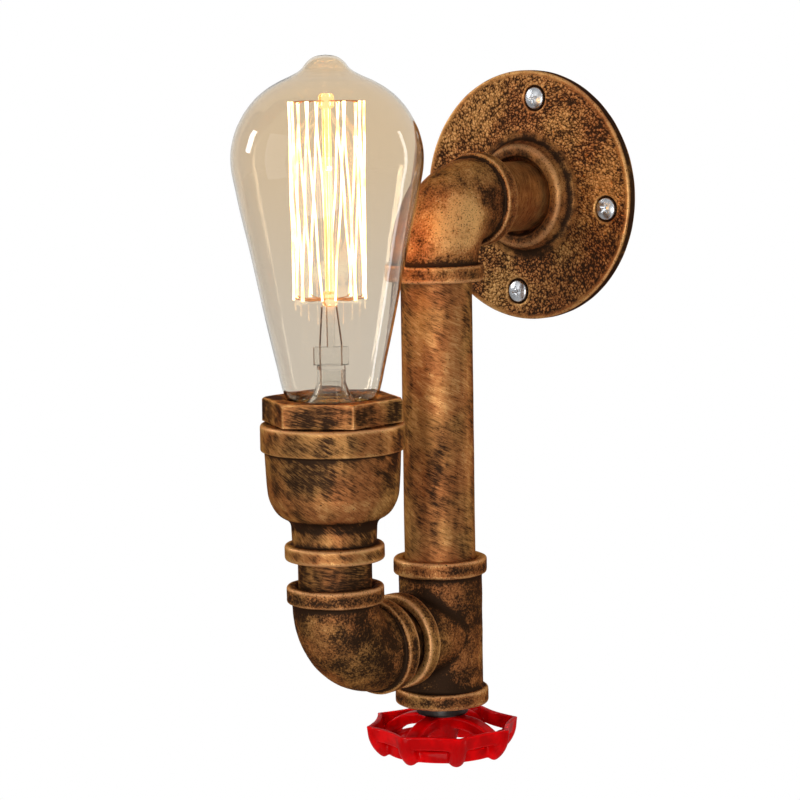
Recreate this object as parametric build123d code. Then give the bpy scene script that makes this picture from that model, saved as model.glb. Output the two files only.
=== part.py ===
from build123d import *
import math
import os

# Industrial pipe wall light. Millimetres, +Z up. The wall is the plane y = 0, the arm reaches out
# towards -Y, and the origin is the centre of the wall flange's back face.

os.makedirs("parts", exist_ok=True)

# ---------------------------------------------------------------- driving dimensions

# Pipe and threaded fittings
pipe_od = 25.0
pipe_bore = 20.6
fitting_od = 29.4          # body of the elbows and of the tee
fitting_bore = 22.0        # waterway inside the castings
band_od = 33.0             # raised band at each port
band_width = 5.8
band_edge = 0.9            # rounding of a band's two edges
socket_depth = 12.4        # threaded length inside a port
socket_gap = 0.05          # thread clearance on the radius
socket_floor_gap = 0.3     # a pipe's end stays this far from the bottom of its socket
mouth_chamfer = 1.2        # bevel at the mouth of a port

# Arm layout
wall_to_pipe = 57.4        # wall plane to the axis of the upright pipe
pipe_to_lamp = 57.2        # axis of the upright pipe to the axis of the lamp
branch_drop = 150.7        # flange axis down to the axis of the tee's branch
upper_elbow_reach = 27.2   # centre to face
lower_elbow_reach = 25.2
tee_run_reach = 26.2
tee_branch_reach = 26.5
tee_branch_od = 28.6       # a little slimmer than the run
tee_fillet = 3.0

# Wall flange
flange_od = 90.0
flange_thickness = 4.2
flange_edge = 1.0
hub_height = 9.8
hub_base_od = 41.0
hub_rim_od = 36.8
hub_foot = 1.5             # slope where the hub meets the plate, across and up
hub_foot_height = 1.2
hub_edge = 0.6             # slope round the hub's rim, across and down
hub_edge_height = 1.4
hub_mouth = 2.2            # bevel round the nipple
nipple_back = 1.0          # the wall nipple ends this far in front of the wall
screw_circle = 70.5        # pitch circle of the four wall screws
screw_count = 4
screw_turn = -6.8          # the flange stands this many degrees round from square
screw_od = 4.0
screw_length = 9.0         # standing out behind the flange
screw_point = 1.2
screw_waist_od = 3.5       # plain shank between the head and the thread
screw_thread_start = 0.2   # behind the flange
screw_head_od = 7.8
screw_head_rim = 1.2
screw_head_dome = 1.0
screw_recess_od = 9.6
screw_recess_depth = 1.0
screw_hole_od = 4.5
cross_length = 4.4
cross_width = 0.9
cross_depth = 1.2

# Lamp cup and hexagon bushing
cup_top = -70.5
cup_band_od = 48.6
cup_band_height = 9.0
cup_body_od = 46.0
cup_body_low_od = 44.8
cup_bowl_start = -92.0
cup_bowl_end = -103.3
cup_neck_od = 28.6
cup_collar_od = 33.8
cup_collar_top = -111.3
cup_low = -116.8
cup_mouth_od = 41.4
cup_mouth_depth = 8.5
cup_inner_od = 39.2
cup_floor = -100.0
cup_floor_od = 25.0
cup_shoulder = 3.8
hex_across_corners = 48.4
hex_top = -62.0
hex_low = -70.2
hex_turn = -2.5            # one corner points straight out, less this turn
hex_bevel = 0.7            # how far the corners are cut down, and how far in
hex_bevel_run = 1.0
hex_bore = 31.0
hex_lip = 0.8
spigot_low = -75.4

# Lamp holder
holder_top = -75.8
holder_od = 37.2
holder_edge = 0.6
holder_step = -91.0
holder_slope = 1.5
holder_base_od = 26.0
well_bore = 29.4
well_floor = -92.0
holder_recess_top = -94.5
holder_recess_od = 19.0
plate_od = 24.4
plate_thickness = 1.2
tube_od = 10.0
tube_bore = 7.2
tube_low = -112.0
locknut_across_flats = 14.0
locknut_height = 3.0
earth_ring_od = 16.0
earth_ring_thickness = 0.8
earth_barrel_reach = 8.7
earth_barrel_od = 2.6
earth_barrel_length = 5.0
shell_wall = 0.35
shell_rim = 0.5            # below the top of the porcelain
shell_hole_radius = 9.0
shell_clearance = 0.3      # between the crests of the bulb's thread and of the shell's thread
thread_pitch = 3.629       # E27 round thread
thread_mean_radius = 12.85
thread_depth = 0.35        # to each side of the mean radius
holder_screw_od = 3.0
holder_screw_circle = 22.4
holder_screw_reach = 3.5   # into the porcelain
strip_foot = 5.6           # half length of the centre contact where it stands on the well's floor
strip_top = 2.7            # half length of its flat top
strip_thickness = 0.35
strip_width = 5.0
strip_gap = 0.2            # below the bulb's tip
terminal_place = 3.1       # from the lamp's axis
terminal_width = 4.0
terminal_length = 6.0
terminal_screw_place = 3.6
terminal_screw_od = 1.8
terminal_screw_length = 4.0

# Bulb
bulb_wall = 1.0
bulb_turn = 39.0           # the press and the two lead wires stand across this direction
bulb_profile = (           # outside of the glass, radius and height, from the crown to the neck
    (0.0, 51.7), (3.6, 51.1), (6.1, 49.4), (8.2, 46.9), (11.4, 45.0), (15.7, 43.0),
    (20.7, 39.9), (25.1, 35.7), (28.6, 30.5), (30.9, 25.0), (32.0, 17.6), (30.4, 6.5),
    (26.0, -14.2), (21.0, -38.6), (17.9, -52.5), (16.8, -57.6), (15.9, -60.6), (14.7, -62.4),
    (13.3, -63.5), (12.75, -64.6))
glass_low = -70.5
cap_wall = 0.3
cap_step = 0.3             # slope from the plain skirt to the thread
cap_lip = 1.5              # turned in over the insulator
cap_top = -64.4
cap_skirt_radius = 13.15
cap_thread_top = -70.8
cap_thread_turns = 4
cap_low = -86.0
cap_low_radius = 11.6
insulator_gap = 0.05       # under the cap's lip
insulator_edge = 0.3       # inside the cap's low edge
insulator_rim = 0.8
insulator_low = -89.2
insulator_low_radius = 6.4
tip_low = -90.3
tip_radius = 4.6
tip_rim = 0.4
tip_slope = 1.4
press_width = 11.9
press_thickness = 4.2
press_top = -45.0
press_low = -51.0
press_rounding = 1.8
flare_radius = 4.85
flare_top = -57.0          # the flare widens from here down to flare_low
flare_low = -61.0
flare_step = 1.5
flare_rim = 1.5
flare_wall = 0.9
rod_od = 3.0
cage_top = 36.5
cage_low = -29.0
cage_radius = 12.2
cage_low_radius = 11.8
cage_hooks = 10
cage_gap = 24.0            # degrees left open between the two ends of the filament
button_radius = 2.6
button_height = 5.0
button_rounding = 1.2
hook_od = 0.4
hook_turn_in = 0.6         # the last stretch of a hook, across and down
hook_turn_down = 0.8
hook_bend = 0.5
filament_od = 0.3
hook_spread = 0.35         # the two strands on one hook stand this far to each side
strand_reach = 0.35        # and this far outside of it
strand_end = 1.0           # and they stop this far from its level
lead_od = 0.6
lead_low = -60.0
lead_offset = 3.6
lead_bend = 2.0
lead_turn = 1.0            # above the press
lead_reach = 0.98          # of the cage's low radius
lead_below = 1.5           # under the cage's low end

# Dimmer, plug and stem
ring_nut_od = 18.4
ring_nut_height = 4.0
ring_nut_rounding = 0.5
plug_height = 7.4
switch_od = 20.8
switch_wall = 1.4
switch_top = -160.0
cover_thickness = 1.8
neck_od = 9.8
stem_od = 6.0
stem_gap = 0.05            # running clearance on the radius
rotor_od = 16.4
rotor_height = 4.0
rotor_rounding = 0.4
rotor_gap = 0.4            # above the case's floor
contact_height = 1.2
contact_width = 3.0

# Handwheel
wheel_gap = 0.3            # between the ring nut and the hub
wheel_lobes = 8
wheel_turn = -84.0         # direction of the first lobe, degrees from +X
rim_top = -184.2
rim_low = -189.2
rim_corner_radius = 27.7   # outline of the rim's top
rim_middle_radius = 24.4
rim_taper = 0.9            # the rim narrows by this much towards its low edge
rim_wall = 1.8
finger_radius = 3.0
finger_high = (24.1, -185.4)     # centre line of a finger, radius and height
finger_middle = (22.9, -190.3)
finger_end = (19.4, -193.6)
finger_rounding = 1.6
ring_radius = 20.6         # ring that joins the fingers' ends
ring_inner_radius = 17.4
ring_top = -190.2
ring_low = -194.5
ring_rounding = 0.7
hub_top_radius = 7.4
hub_low_radius = 4.9
wheel_hub_low = -191.0
spoke_count = 4
spoke_width = 5.8
spoke_thickness = 4.2
spoke_rounding = 0.7
spoke_root = (4.0, 2.6)   # centre line of a spoke, radius and depth below the hub's top
spoke_middle = (15.6, 4.1)
spoke_end = (23.0, 9.9)
washer_od = 9.6
washer_thickness = 0.8
wheel_nut_across_flats = 9.0
wheel_nut_height = 2.6

# Wires
wire_od = 1.8
wire_lane = 2.2            # sideways step from one wire to the next
wire_bend = 20.0
wire_start = -1.5
switched_bend = 9.0
switched_start = 5.2       # in front of the live wire's end
switched_height = 3.2      # above the branch axis
wire_end = -97.3

# ---------------------------------------------------------------- derived places

pipe_radius = pipe_od / 2
socket_radius = pipe_radius + socket_gap
pipe_y = -wall_to_pipe
lamp_y = pipe_y - pipe_to_lamp
insert = socket_depth - socket_floor_gap
tee_low = -branch_drop - tee_run_reach
neck_low = tee_low - ring_nut_height
wheel_hub_top = neck_low - wheel_gap
shoulder_low = cup_floor - cup_shoulder
plate_top = cup_floor + plate_thickness

BASE = (Align.CENTER, Align.CENTER, Align.MIN)

# Turns that point a part built along +Z another way
UP = Rot(0, 0, 0)
DOWN = Rot(180, 0, 0)
TO_WALL = Rot(-90, 0, 0)
FROM_WALL = Rot(90, 0, 0)
HALF_ROUND = Rot(0, 180, 0)


# ---------------------------------------------------------------- helpers

def save(shape, node):
    """Write one sub-part."""
    export_step(shape, f"parts/{node}.step")


def group(solids):
    """Several separate solids that share one node."""
    return Compound(children=list(solids))


def post(radius, low, high, y=0.0, x=0.0):
    """Upright round bar between two heights."""
    return Pos(x, y, low) * Cylinder(radius, high - low, align=BASE)


def pipe(outer, inner, low, high):
    """Upright tube on the Z axis."""
    return post(outer, low, high) - post(inner, low, high)


def cone(low_radius, high_radius, low, high):
    """Upright cone between two heights on the Z axis."""
    return Pos(0, 0, low) * Cone(low_radius, high_radius, high - low, align=BASE)


def turned(edges):
    """Solid of revolution about Z from the closed outline that the edges make in the XZ plane."""
    return revolve(make_face(Plane.XZ * edges), Axis.Z, 360)


def turned_polygon(*outline):
    """Solid of revolution about Z from corners of radius and height."""
    return turned(Polyline(*outline, close=True))


def polar(radius, degrees):
    """Point in the plane at a radius and a direction."""
    angle = math.radians(degrees)
    return (radius * math.cos(angle), radius * math.sin(angle))


def hexagon(across_flats, low, height, turn=0.0):
    """Upright hexagonal bar; at turn 0 its corners lie on the X axis."""
    corner = across_flats / math.sqrt(3)
    sketch = Rot(0, 0, turn) * RegularPolygon(corner, 6)
    return Pos(0, 0, low) * extrude(sketch, height)


def bar(start, end, radius):
    """Round bar between two points."""
    line = Line(start, end)
    return sweep(Plane(origin=line @ 0, z_dir=line % 0) * Circle(radius), path=line)


def wire(points, bends):
    """Insulated wire along straight runs that are joined by tangent arcs."""
    path = FilletPolyline(*points, radius=bends)
    return sweep(Plane(origin=path @ 0, z_dir=path % 0) * Circle(wire_od / 2), path=path)


# ---------------------------------------------------------------- threaded fittings

def band(face):
    """Raised band whose outer face is at a height."""
    ring = post(band_od / 2, face - band_width, face)
    return fillet(ring.edges(), band_edge)


def socket(face):
    """Threaded hole and its bevelled mouth, below a face."""
    hole = post(socket_radius, face - socket_depth, face)
    return hole + cone(socket_radius, socket_radius + mouth_chamfer, face - mouth_chamfer, face)


def bend_path(reach):
    """Centre line of an elbow from its port on +Y to its port on +Z."""
    radius = reach - band_width
    middle = radius * (1 - math.sqrt(0.5))
    return Wire([
        Line((0, reach, 0), (0, radius, 0)),
        ThreePointArc((0, radius, 0), (0, middle, middle), (0, 0, radius)),
        Line((0, 0, radius), (0, 0, reach))])


def elbow(reach):
    """Banded elbow with one port on +Y and one on +Z."""
    path = bend_path(reach)
    start = Plane(origin=(0, reach, 0), z_dir=(0, -1, 0))
    body = sweep(start * Circle(fitting_od / 2), path=path)
    body += TO_WALL * band(reach) + band(reach)
    body -= sweep(start * Circle(pipe_bore / 2), path=path)
    return body - TO_WALL * socket(reach) - socket(reach)


def banded_tee():
    """Tee with its run upright and its branch on -Y."""
    body = post(fitting_od / 2, -tee_run_reach, tee_run_reach)
    body += FROM_WALL * post(tee_branch_od / 2, 0, tee_branch_reach)
    seam = body.edges().filter_by(lambda edge: edge.geom_type not in (GeomType.CIRCLE, GeomType.LINE))
    body = fillet(seam, tee_fillet)
    body += band(tee_run_reach) + DOWN * band(tee_run_reach) + FROM_WALL * band(tee_branch_reach)
    waterway = post(fitting_bore / 2, -tee_run_reach, tee_run_reach)
    waterway += FROM_WALL * post(pipe_bore / 2, 0, tee_branch_reach)
    body -= waterway
    for port in (UP, DOWN, FROM_WALL):
        body -= port * socket(tee_branch_reach if port is FROM_WALL else tee_run_reach)
    return body


def make_arm():
    """Pipes and fittings from the wall to the lamp."""
    bore = pipe_bore / 2
    at_pipe = Pos(0, pipe_y, 0)
    at_branch = Pos(0, pipe_y, -branch_drop)
    at_lamp = Pos(0, lamp_y, -branch_drop)
    nipple_length = wall_to_pipe - upper_elbow_reach + insert
    save(FROM_WALL * pipe(pipe_radius, bore, nipple_back, nipple_length), "wall_nipple")
    save(at_pipe * HALF_ROUND * elbow(upper_elbow_reach), "upper_elbow")
    pipe_top = -upper_elbow_reach + insert
    pipe_low = -branch_drop + tee_run_reach - insert
    save(at_pipe * pipe(pipe_radius, bore, pipe_low, pipe_top), "main_pipe")
    save(at_branch * banded_tee(), "tee")
    near = tee_branch_reach - insert
    far = pipe_to_lamp - lower_elbow_reach + insert
    save(at_branch * FROM_WALL * pipe(pipe_radius, bore, near, far), "branch_nipple")
    save(at_lamp * elbow(lower_elbow_reach), "lower_elbow")
    cup_nipple = pipe(pipe_radius, bore, -branch_drop + lower_elbow_reach - insert, cup_low + insert)
    save(Pos(0, lamp_y, 0) * cup_nipple, "cup_nipple")


# ---------------------------------------------------------------- wall flange

def make_flange():
    """Cast floor flange and its four oval-head screws."""
    radius = flange_od / 2
    thickness = flange_thickness
    mouth = socket_radius + hub_mouth
    body = turned_polygon(
        (socket_radius, 0), (radius, 0), (radius, thickness - flange_edge),
        (radius - flange_edge, thickness), (hub_base_od / 2 + hub_foot, thickness),
        (hub_base_od / 2, thickness + hub_foot_height),
        (hub_rim_od / 2 + hub_edge, hub_height - hub_edge_height),
        (hub_rim_od / 2, hub_height), (mouth, hub_height), (socket_radius, hub_height - hub_mouth))
    seats = [Rot(0, 0, screw_turn + 360 / screw_count * k) * Pos(screw_circle / 2, 0, 0)
             for k in range(screw_count)]
    recess = post(screw_recess_od / 2, thickness - screw_recess_depth, thickness)
    hole = post(screw_hole_od / 2, 0, thickness)
    for seat in seats:
        body -= seat * (recess + hole)
    save(FROM_WALL * body, "wall_flange")
    save(group(FROM_WALL * seat * wall_screw() for seat in seats), "wall_screws")


def wall_screw():
    """Oval-head cross-recess screw, its head towards +Z."""
    seat = flange_thickness - screw_recess_depth
    rim = seat + screw_head_rim
    top = rim + screw_head_dome
    head = screw_head_od / 2
    thread = screw_od / 2
    waist = screw_waist_od / 2
    crown = ThreePointArc((head, rim), (head / 2, rim + 0.75 * screw_head_dome), (0, top))
    rest = Polyline((0, top), (0, -screw_length), (thread - screw_point / 2, -screw_length),
                    (thread, screw_point - screw_length), (thread, -screw_thread_start),
                    (waist, -screw_thread_start), (waist, seat), (head, seat), (head, rim))
    screw = turned(crown + rest)
    slot = Pos(0, 0, top - cross_depth) * Box(cross_length, cross_width, 2 * cross_depth, align=BASE)
    return screw - (slot + Rot(0, 0, 90) * slot)


# ---------------------------------------------------------------- lamp cup

def make_cup():
    """Bell reducer and the hexagon bushing in its mouth."""
    band_low = cup_top - cup_band_height
    low_radius = cup_body_low_od / 2
    neck = cup_neck_od / 2
    outside = Polyline(
        (cup_mouth_od / 2, cup_top), (cup_band_od / 2 - band_edge, cup_top),
        (cup_band_od / 2, cup_top - band_edge), (cup_band_od / 2, band_low + band_edge),
        (cup_band_od / 2 - band_edge, band_low), (cup_body_od / 2, band_low),
        (low_radius, cup_bowl_start))
    bowl = quarter((neck, cup_bowl_start), low_radius - neck, cup_bowl_start - cup_bowl_end)
    collar = cup_collar_od / 2
    lower = Polyline(
        (neck, cup_bowl_end), (neck, cup_collar_top), (collar - band_edge, cup_collar_top),
        (collar, cup_collar_top - band_edge), (collar, cup_low + band_edge),
        (collar - band_edge, cup_low), (socket_radius + mouth_chamfer, cup_low),
        (socket_radius, cup_low + mouth_chamfer), (socket_radius, shoulder_low),
        (tube_od / 2, shoulder_low), (tube_od / 2, cup_floor), (cup_floor_od / 2, cup_floor))
    inner = cup_inner_od / 2
    hollow = quarter((cup_floor_od / 2, cup_bowl_start), inner - cup_floor_od / 2,
                     cup_bowl_start - cup_floor)
    mouth = Polyline((inner, cup_bowl_start), (inner, cup_top - cup_mouth_depth),
                     (cup_mouth_od / 2, cup_top - cup_mouth_depth), (cup_mouth_od / 2, cup_top))
    save(Pos(0, lamp_y, 0) * turned(outside + bowl + lower + hollow + mouth), "lamp_cup")

    hexagon_height = hex_top - hex_low
    across_flats = hex_across_corners * math.sqrt(3) / 2
    head = hexagon(across_flats, hex_low, hexagon_height, 90 + hex_turn)
    corner = hex_across_corners / 2
    head &= turned_polygon(
        (0, hex_low), (corner + hex_bevel_run, hex_low),
        (corner + hex_bevel_run, hex_top - 2 * hex_bevel), (corner - hex_bevel_run, hex_top), (0, hex_top))
    head += post(cup_mouth_od / 2 - socket_gap, spigot_low, hex_low)
    bore = hex_bore / 2
    head -= post(bore, spigot_low, hex_top) + cone(bore, bore + hex_lip, hex_top - hex_lip, hex_top)
    save(Pos(0, lamp_y, 0) * head, "hex_bushing")


def quarter(centre, across, down):
    """Quarter of an upright ellipse, from its side down to its lowest point."""
    return EllipticalCenterArc(centre, across, down, start_angle=270, arc_size=90)


# ---------------------------------------------------------------- lamp holder

def wave(radius, top, turns):
    """Round thread seen in section: half waves in and out about a radius, going down."""
    half = thread_pitch / 2
    arcs = []
    for k in range(2 * turns):
        side = thread_depth if k % 2 else -thread_depth
        start = top - k * half
        arcs.append(ThreePointArc((radius, start), (radius + side, start - half / 2),
                                  (radius, start - half)))
    return arcs


def make_holder():
    """Porcelain lamp holder, its contacts, and what fixes it in the cup."""
    at_lamp = Pos(0, lamp_y, 0)
    body = turned_polygon(
        (0, well_floor), (well_bore / 2, well_floor), (well_bore / 2, holder_top),
        (holder_od / 2 - holder_edge, holder_top), (holder_od / 2, holder_top - holder_edge),
        (holder_od / 2, holder_step), (holder_base_od / 2, holder_step - holder_slope),
        (holder_base_od / 2, plate_top), (holder_recess_od / 2, plate_top),
        (holder_recess_od / 2, holder_recess_top), (0, holder_recess_top))
    plate = post(plate_od / 2, cup_floor, plate_top) - post(tube_od / 2, cup_floor, plate_top)
    screw_top = plate_top + holder_screw_reach
    screws = [post(holder_screw_od / 2, cup_floor, screw_top, y=side * holder_screw_circle / 2)
              for side in (-1, 1)]
    for screw in screws:
        body -= screw
        plate -= screw
    save(at_lamp * body, "lamp_holder")
    save(at_lamp * plate, "holder_plate")
    save(at_lamp * group(screws), "holder_screws")

    radius = thread_mean_radius + 2 * thread_depth + shell_clearance
    outside = radius + shell_wall
    top = holder_top - shell_rim
    low = top - cap_thread_turns * thread_pitch
    foot = Polyline((radius, low), (shell_hole_radius, low), (shell_hole_radius, low - shell_wall),
                    (outside, low - shell_wall), (outside, low))
    waves = wave(radius, top, cap_thread_turns) + wave(outside, top, cap_thread_turns)
    rim = Line((radius, top), (outside, top))
    save(at_lamp * turned(Curve() + waves + [foot, rim]), "screw_shell")

    high = tip_low - strip_gap
    under = high - strip_thickness
    inner_foot = strip_foot - 2 * strip_thickness
    inner_top = strip_top - strip_thickness
    strip = Polyline((-strip_foot, well_floor), (-strip_top, high), (strip_top, high),
                     (strip_foot, well_floor), (inner_foot, well_floor), (inner_top, under),
                     (-inner_top, under), (-inner_foot, well_floor), close=True)
    leaf = extrude(make_face(Plane.XZ * strip), strip_width / 2, both=True)
    save(at_lamp * leaf, "centre_contact")

    level = (wire_end + holder_recess_top) / 2
    blocks = []
    clamps = []
    for side in (-1, 1):
        clamp = Pos(side * terminal_screw_place, 0, level) * Rot(0, side * 90, 0) * Cylinder(
            terminal_screw_od / 2, terminal_screw_length, align=BASE)
        block = Pos(side * terminal_place, 0, level) * Box(
            terminal_width, terminal_length, holder_recess_top - wire_end)
        blocks.append(block - clamp)
        clamps.append(clamp)
    save(at_lamp * group(blocks), "terminals")
    save(at_lamp * group(clamps), "terminal_screws")

    save(at_lamp * pipe(tube_od / 2, tube_bore / 2, tube_low, plate_top), "holder_tube")
    ring_low = shoulder_low - earth_ring_thickness
    barrel_low = ring_low - earth_barrel_length
    tab_length = earth_barrel_reach + earth_barrel_od / 2
    tab = Pos(0, -tab_length / 2, ring_low) * Box(
        earth_barrel_od, tab_length, earth_ring_thickness, align=BASE)
    ring = post(earth_ring_od / 2, ring_low, shoulder_low) + tab
    ring += post(earth_barrel_od / 2, barrel_low, ring_low, y=-earth_barrel_reach)
    ring -= post(tube_od / 2, ring_low, shoulder_low)
    ring -= post(wire_od / 2, barrel_low, ring_low, y=-earth_barrel_reach)
    save(at_lamp * ring, "earth_ring")
    nut = hexagon(locknut_across_flats, ring_low - locknut_height, locknut_height)
    nut -= post(tube_od / 2, ring_low - locknut_height, ring_low)
    save(at_lamp * nut, "holder_locknut")


# ---------------------------------------------------------------- bulb

def inset(points, wall):
    """Points moved inwards from a profile by a wall thickness, square to the profile."""
    moved = [(0.0, points[0][1] - wall)]
    for before, here, after in zip(points, points[1:], points[2:]):
        run = (after[0] - before[0], after[1] - before[1])
        length = math.hypot(*run)
        moved.append((here[0] + run[1] / length * wall, here[1] - run[0] / length * wall))
    moved.append((points[-1][0] - wall, points[-1][1]))
    return moved


def glass_side(points):
    """Smooth line from the crown of the bulb to the neck."""
    return Spline(*points, tangents=[(1, 0), (0, -1)], tangent_scalars=[1, 1])


def glass_shell():
    """Hollow envelope, open at the foot of its neck."""
    inner = inset(bulb_profile, bulb_wall)
    neck = bulb_profile[-1][0]
    foot = Polyline(bulb_profile[-1], (neck, glass_low), (neck - bulb_wall, glass_low), inner[-1])
    crown = Line(bulb_profile[0], inner[0])
    return turned(Curve() + [glass_side(bulb_profile), glass_side(inner), foot, crown])


def make_bulb():
    """Glass, cap and the works inside, all on the lamp's axis."""
    at_lamp = Pos(0, lamp_y, 0) * Rot(0, 0, bulb_turn)
    save(at_lamp * glass_shell(), "bulb_glass")

    thread_low = cap_thread_top - cap_thread_turns * thread_pitch
    outside = wave(thread_mean_radius, cap_thread_top, cap_thread_turns)
    inside = wave(thread_mean_radius - cap_wall, cap_thread_top, cap_thread_turns)
    inner = thread_mean_radius - cap_wall
    skirt = Polyline(
        (inner, cap_thread_top), (cap_skirt_radius - cap_wall, cap_thread_top + cap_step),
        (cap_skirt_radius - cap_wall, cap_top), (cap_skirt_radius, cap_top),
        (cap_skirt_radius, cap_thread_top + cap_step), (thread_mean_radius, cap_thread_top))
    end = Polyline(
        (thread_mean_radius, thread_low), (cap_low_radius, cap_low), (cap_low_radius - cap_lip, cap_low),
        (cap_low_radius - cap_lip, cap_low + cap_wall), (inner, thread_low))
    save(at_lamp * turned(Curve() + outside + inside + [skirt, end]), "bulb_cap")
    insulator_top = cap_low - insulator_gap
    edge = cap_low_radius - insulator_edge
    save(at_lamp * turned_polygon(
        (0, insulator_top), (edge, insulator_top), (edge, cap_low - insulator_rim),
        (insulator_low_radius, insulator_low), (0, insulator_low)), "cap_insulator")
    save(at_lamp * turned_polygon(
        (0, insulator_low), (tip_radius, insulator_low), (tip_radius, insulator_low - tip_rim),
        (tip_radius - tip_slope, tip_low), (0, tip_low)), "tip_contact")

    leads = [lead_wire(side) for side in (-1, 1)]
    stem = glass_stem()
    for lead in leads:
        stem -= lead
    save(at_lamp * stem, "glass_stem")
    save(at_lamp * group(leads), "lead_wires")
    save(at_lamp * spider(cage_top, cage_radius, 1), "top_hooks")
    save(at_lamp * spider(cage_low, cage_low_radius, -1), "bottom_hooks")
    save(at_lamp * group(strands()), "filament")


def glass_stem():
    """Flare, flat press and centre rod with its two buttons."""
    neck = bulb_profile[-1][0] - bulb_wall
    foot = flare_radius + flare_step
    shell = turned_polygon(
        (neck, glass_low), (neck, glass_low + flare_rim), (foot, flare_low), (flare_radius, flare_top),
        (flare_radius, press_low), (0, press_low), (0, glass_low))
    hollow = turned_polygon(
        (neck - flare_wall, glass_low), (neck - flare_wall, glass_low + flare_rim / 2),
        (foot - flare_wall, flare_low - flare_wall), (flare_radius - flare_wall, flare_top),
        (flare_radius - flare_wall, press_low - flare_rim), (0, press_low - flare_rim), (0, glass_low))
    press = Pos(0, 0, press_low) * Box(press_width, press_thickness, press_top - press_low, align=BASE)
    press = fillet(press.edges().filter_by(Axis.Z), press_rounding)
    stem = shell - hollow + press + post(rod_od / 2, press_top, cage_top)
    for level in (cage_top, cage_low):
        button = post(button_radius, level - button_height / 2, level + button_height / 2)
        stem += fillet(button.edges(), button_rounding)
    return stem


def lead_wire(side):
    """Lead wire from the cap, through the press, out to one end of the filament."""
    tip = polar(cage_low_radius, bottom_angle(0 if side > 0 else cage_hooks))
    end = (tip[0] * lead_reach, tip[1] * lead_reach, cage_low - lead_below)
    points = [(side * lead_offset, 0, lead_low), (side * lead_offset, 0, press_top + lead_turn), end]
    path = FilletPolyline(*points, radius=lead_bend)
    return sweep(Plane(origin=path @ 0, z_dir=path % 0) * Circle(lead_od / 2), path=path)


def bottom_angle(place):
    """Direction of one of the places at the foot of the cage, from one lead to the other."""
    return -90 + cage_gap / 2 + (360 - cage_gap) / cage_hooks * place


def top_angle(place):
    """Direction of one of the top hooks, half way between two places at the foot."""
    return bottom_angle(place + 0.5)


def spider(level, radius, side):
    """Fine wires that stand out of a glass button, with their ends turned up or down."""
    places = range(cage_hooks) if side > 0 else range(1, cage_hooks)
    angle = top_angle if side > 0 else bottom_angle
    hooks = []
    for place in places:
        near = polar(button_radius, angle(place))
        far = polar(radius - hook_turn_in, angle(place))
        end = polar(radius, angle(place))
        points = [(*near, level), (*far, level), (*end, level - side * hook_turn_down)]
        path = FilletPolyline(*points, radius=hook_bend)
        hooks.append(sweep(Plane(origin=path @ 0, z_dir=path % 0) * Circle(hook_od / 2), path=path))
    return group(hooks)


def strands():
    """Strands of the squirrel cage: up to each top hook and down again."""
    spread_top = math.degrees(hook_spread / cage_radius)
    spread_low = math.degrees(hook_spread / cage_low_radius)
    result = []
    for place in range(cage_hooks):
        for side in (-1, 1):
            foot_angle = bottom_angle(place + (side + 1) / 2) - side * spread_low
            low = polar(cage_low_radius + strand_reach, foot_angle)
            top = polar(cage_radius + strand_reach, top_angle(place) + side * spread_top)
            result.append(bar((*low, cage_low + strand_end), (*top, cage_top - strand_end),
                              filament_od / 2))
    return result


# ---------------------------------------------------------------- dimmer and handwheel

def make_switch():
    """Plug in the tee, the rotary dimmer above it and the ring nut below it."""
    at_pipe = Pos(0, pipe_y, 0)
    plug_top = tee_low + plug_height
    neck = neck_od / 2
    running = stem_od / 2 + stem_gap
    plug = post(pipe_radius, tee_low, plug_top) - post(neck, tee_low, plug_top)
    save(at_pipe * plug, "tee_plug")
    nut = fillet(post(ring_nut_od / 2, neck_low, tee_low).edges(), ring_nut_rounding)
    save(at_pipe * (nut - post(neck, neck_low, tee_low)), "ring_nut")
    radius = switch_od / 2
    case = turned_polygon(
        (running, neck_low), (neck, neck_low), (neck, plug_top), (radius, plug_top),
        (radius, switch_top), (radius - switch_wall, switch_top),
        (radius - switch_wall, plug_top + switch_wall), (running, plug_top + switch_wall))
    save(at_pipe * case, "switch_case")
    cover_top = switch_top + cover_thickness
    save(at_pipe * post(radius, switch_top, cover_top), "switch_cover")
    tabs = [Pos(wire_lane, -place, cover_top) * Box(contact_width, contact_width, contact_height, align=BASE)
            for place in (0, switched_start)]
    save(at_pipe * group(tabs), "switch_contacts")


def lobed(corner, middle, height):
    """The wheel's outline at a height: arcs that dip in between its corners."""
    step = 360 / wheel_lobes
    arcs = []
    for k in range(wheel_lobes):
        start = wheel_turn + k * step
        arcs.append(ThreePointArc(polar(corner, start), polar(middle, start + step / 2),
                                  polar(corner, start + step)))
    return Pos(0, 0, height) * make_face(Curve() + arcs)


def rim_block(inset_by):
    """Tapered block with the wheel's outline, moved in from the outside of the rim."""
    corner = rim_corner_radius - inset_by
    middle = rim_middle_radius - inset_by
    return loft([lobed(corner - rim_taper, middle - rim_taper, rim_low), lobed(corner, middle, rim_top)],
                ruled=True)


def finger():
    """Rounded finger that curls down and in from a corner of the rim."""
    points = [(radius, 0, height) for radius, height in (finger_high, finger_middle, finger_end)]
    path = ThreePointArc(*points)
    curl = sweep(Plane(origin=path @ 0, z_dir=path % 0) * Circle(finger_radius), path=path)
    return fillet(curl.edges().sort_by(Axis.Z)[0], finger_rounding)


def spoke():
    """Arched arm from the hub down to a finger."""
    points = [(radius, 0, wheel_hub_top - depth) for radius, depth in (spoke_root, spoke_middle, spoke_end)]
    path = ThreePointArc(*points)
    start = Plane(origin=path @ 0, x_dir=(0, 1, 0), z_dir=path % 0)
    return sweep(start * RectangleRounded(spoke_width, spoke_thickness, spoke_rounding), path=path)


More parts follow.
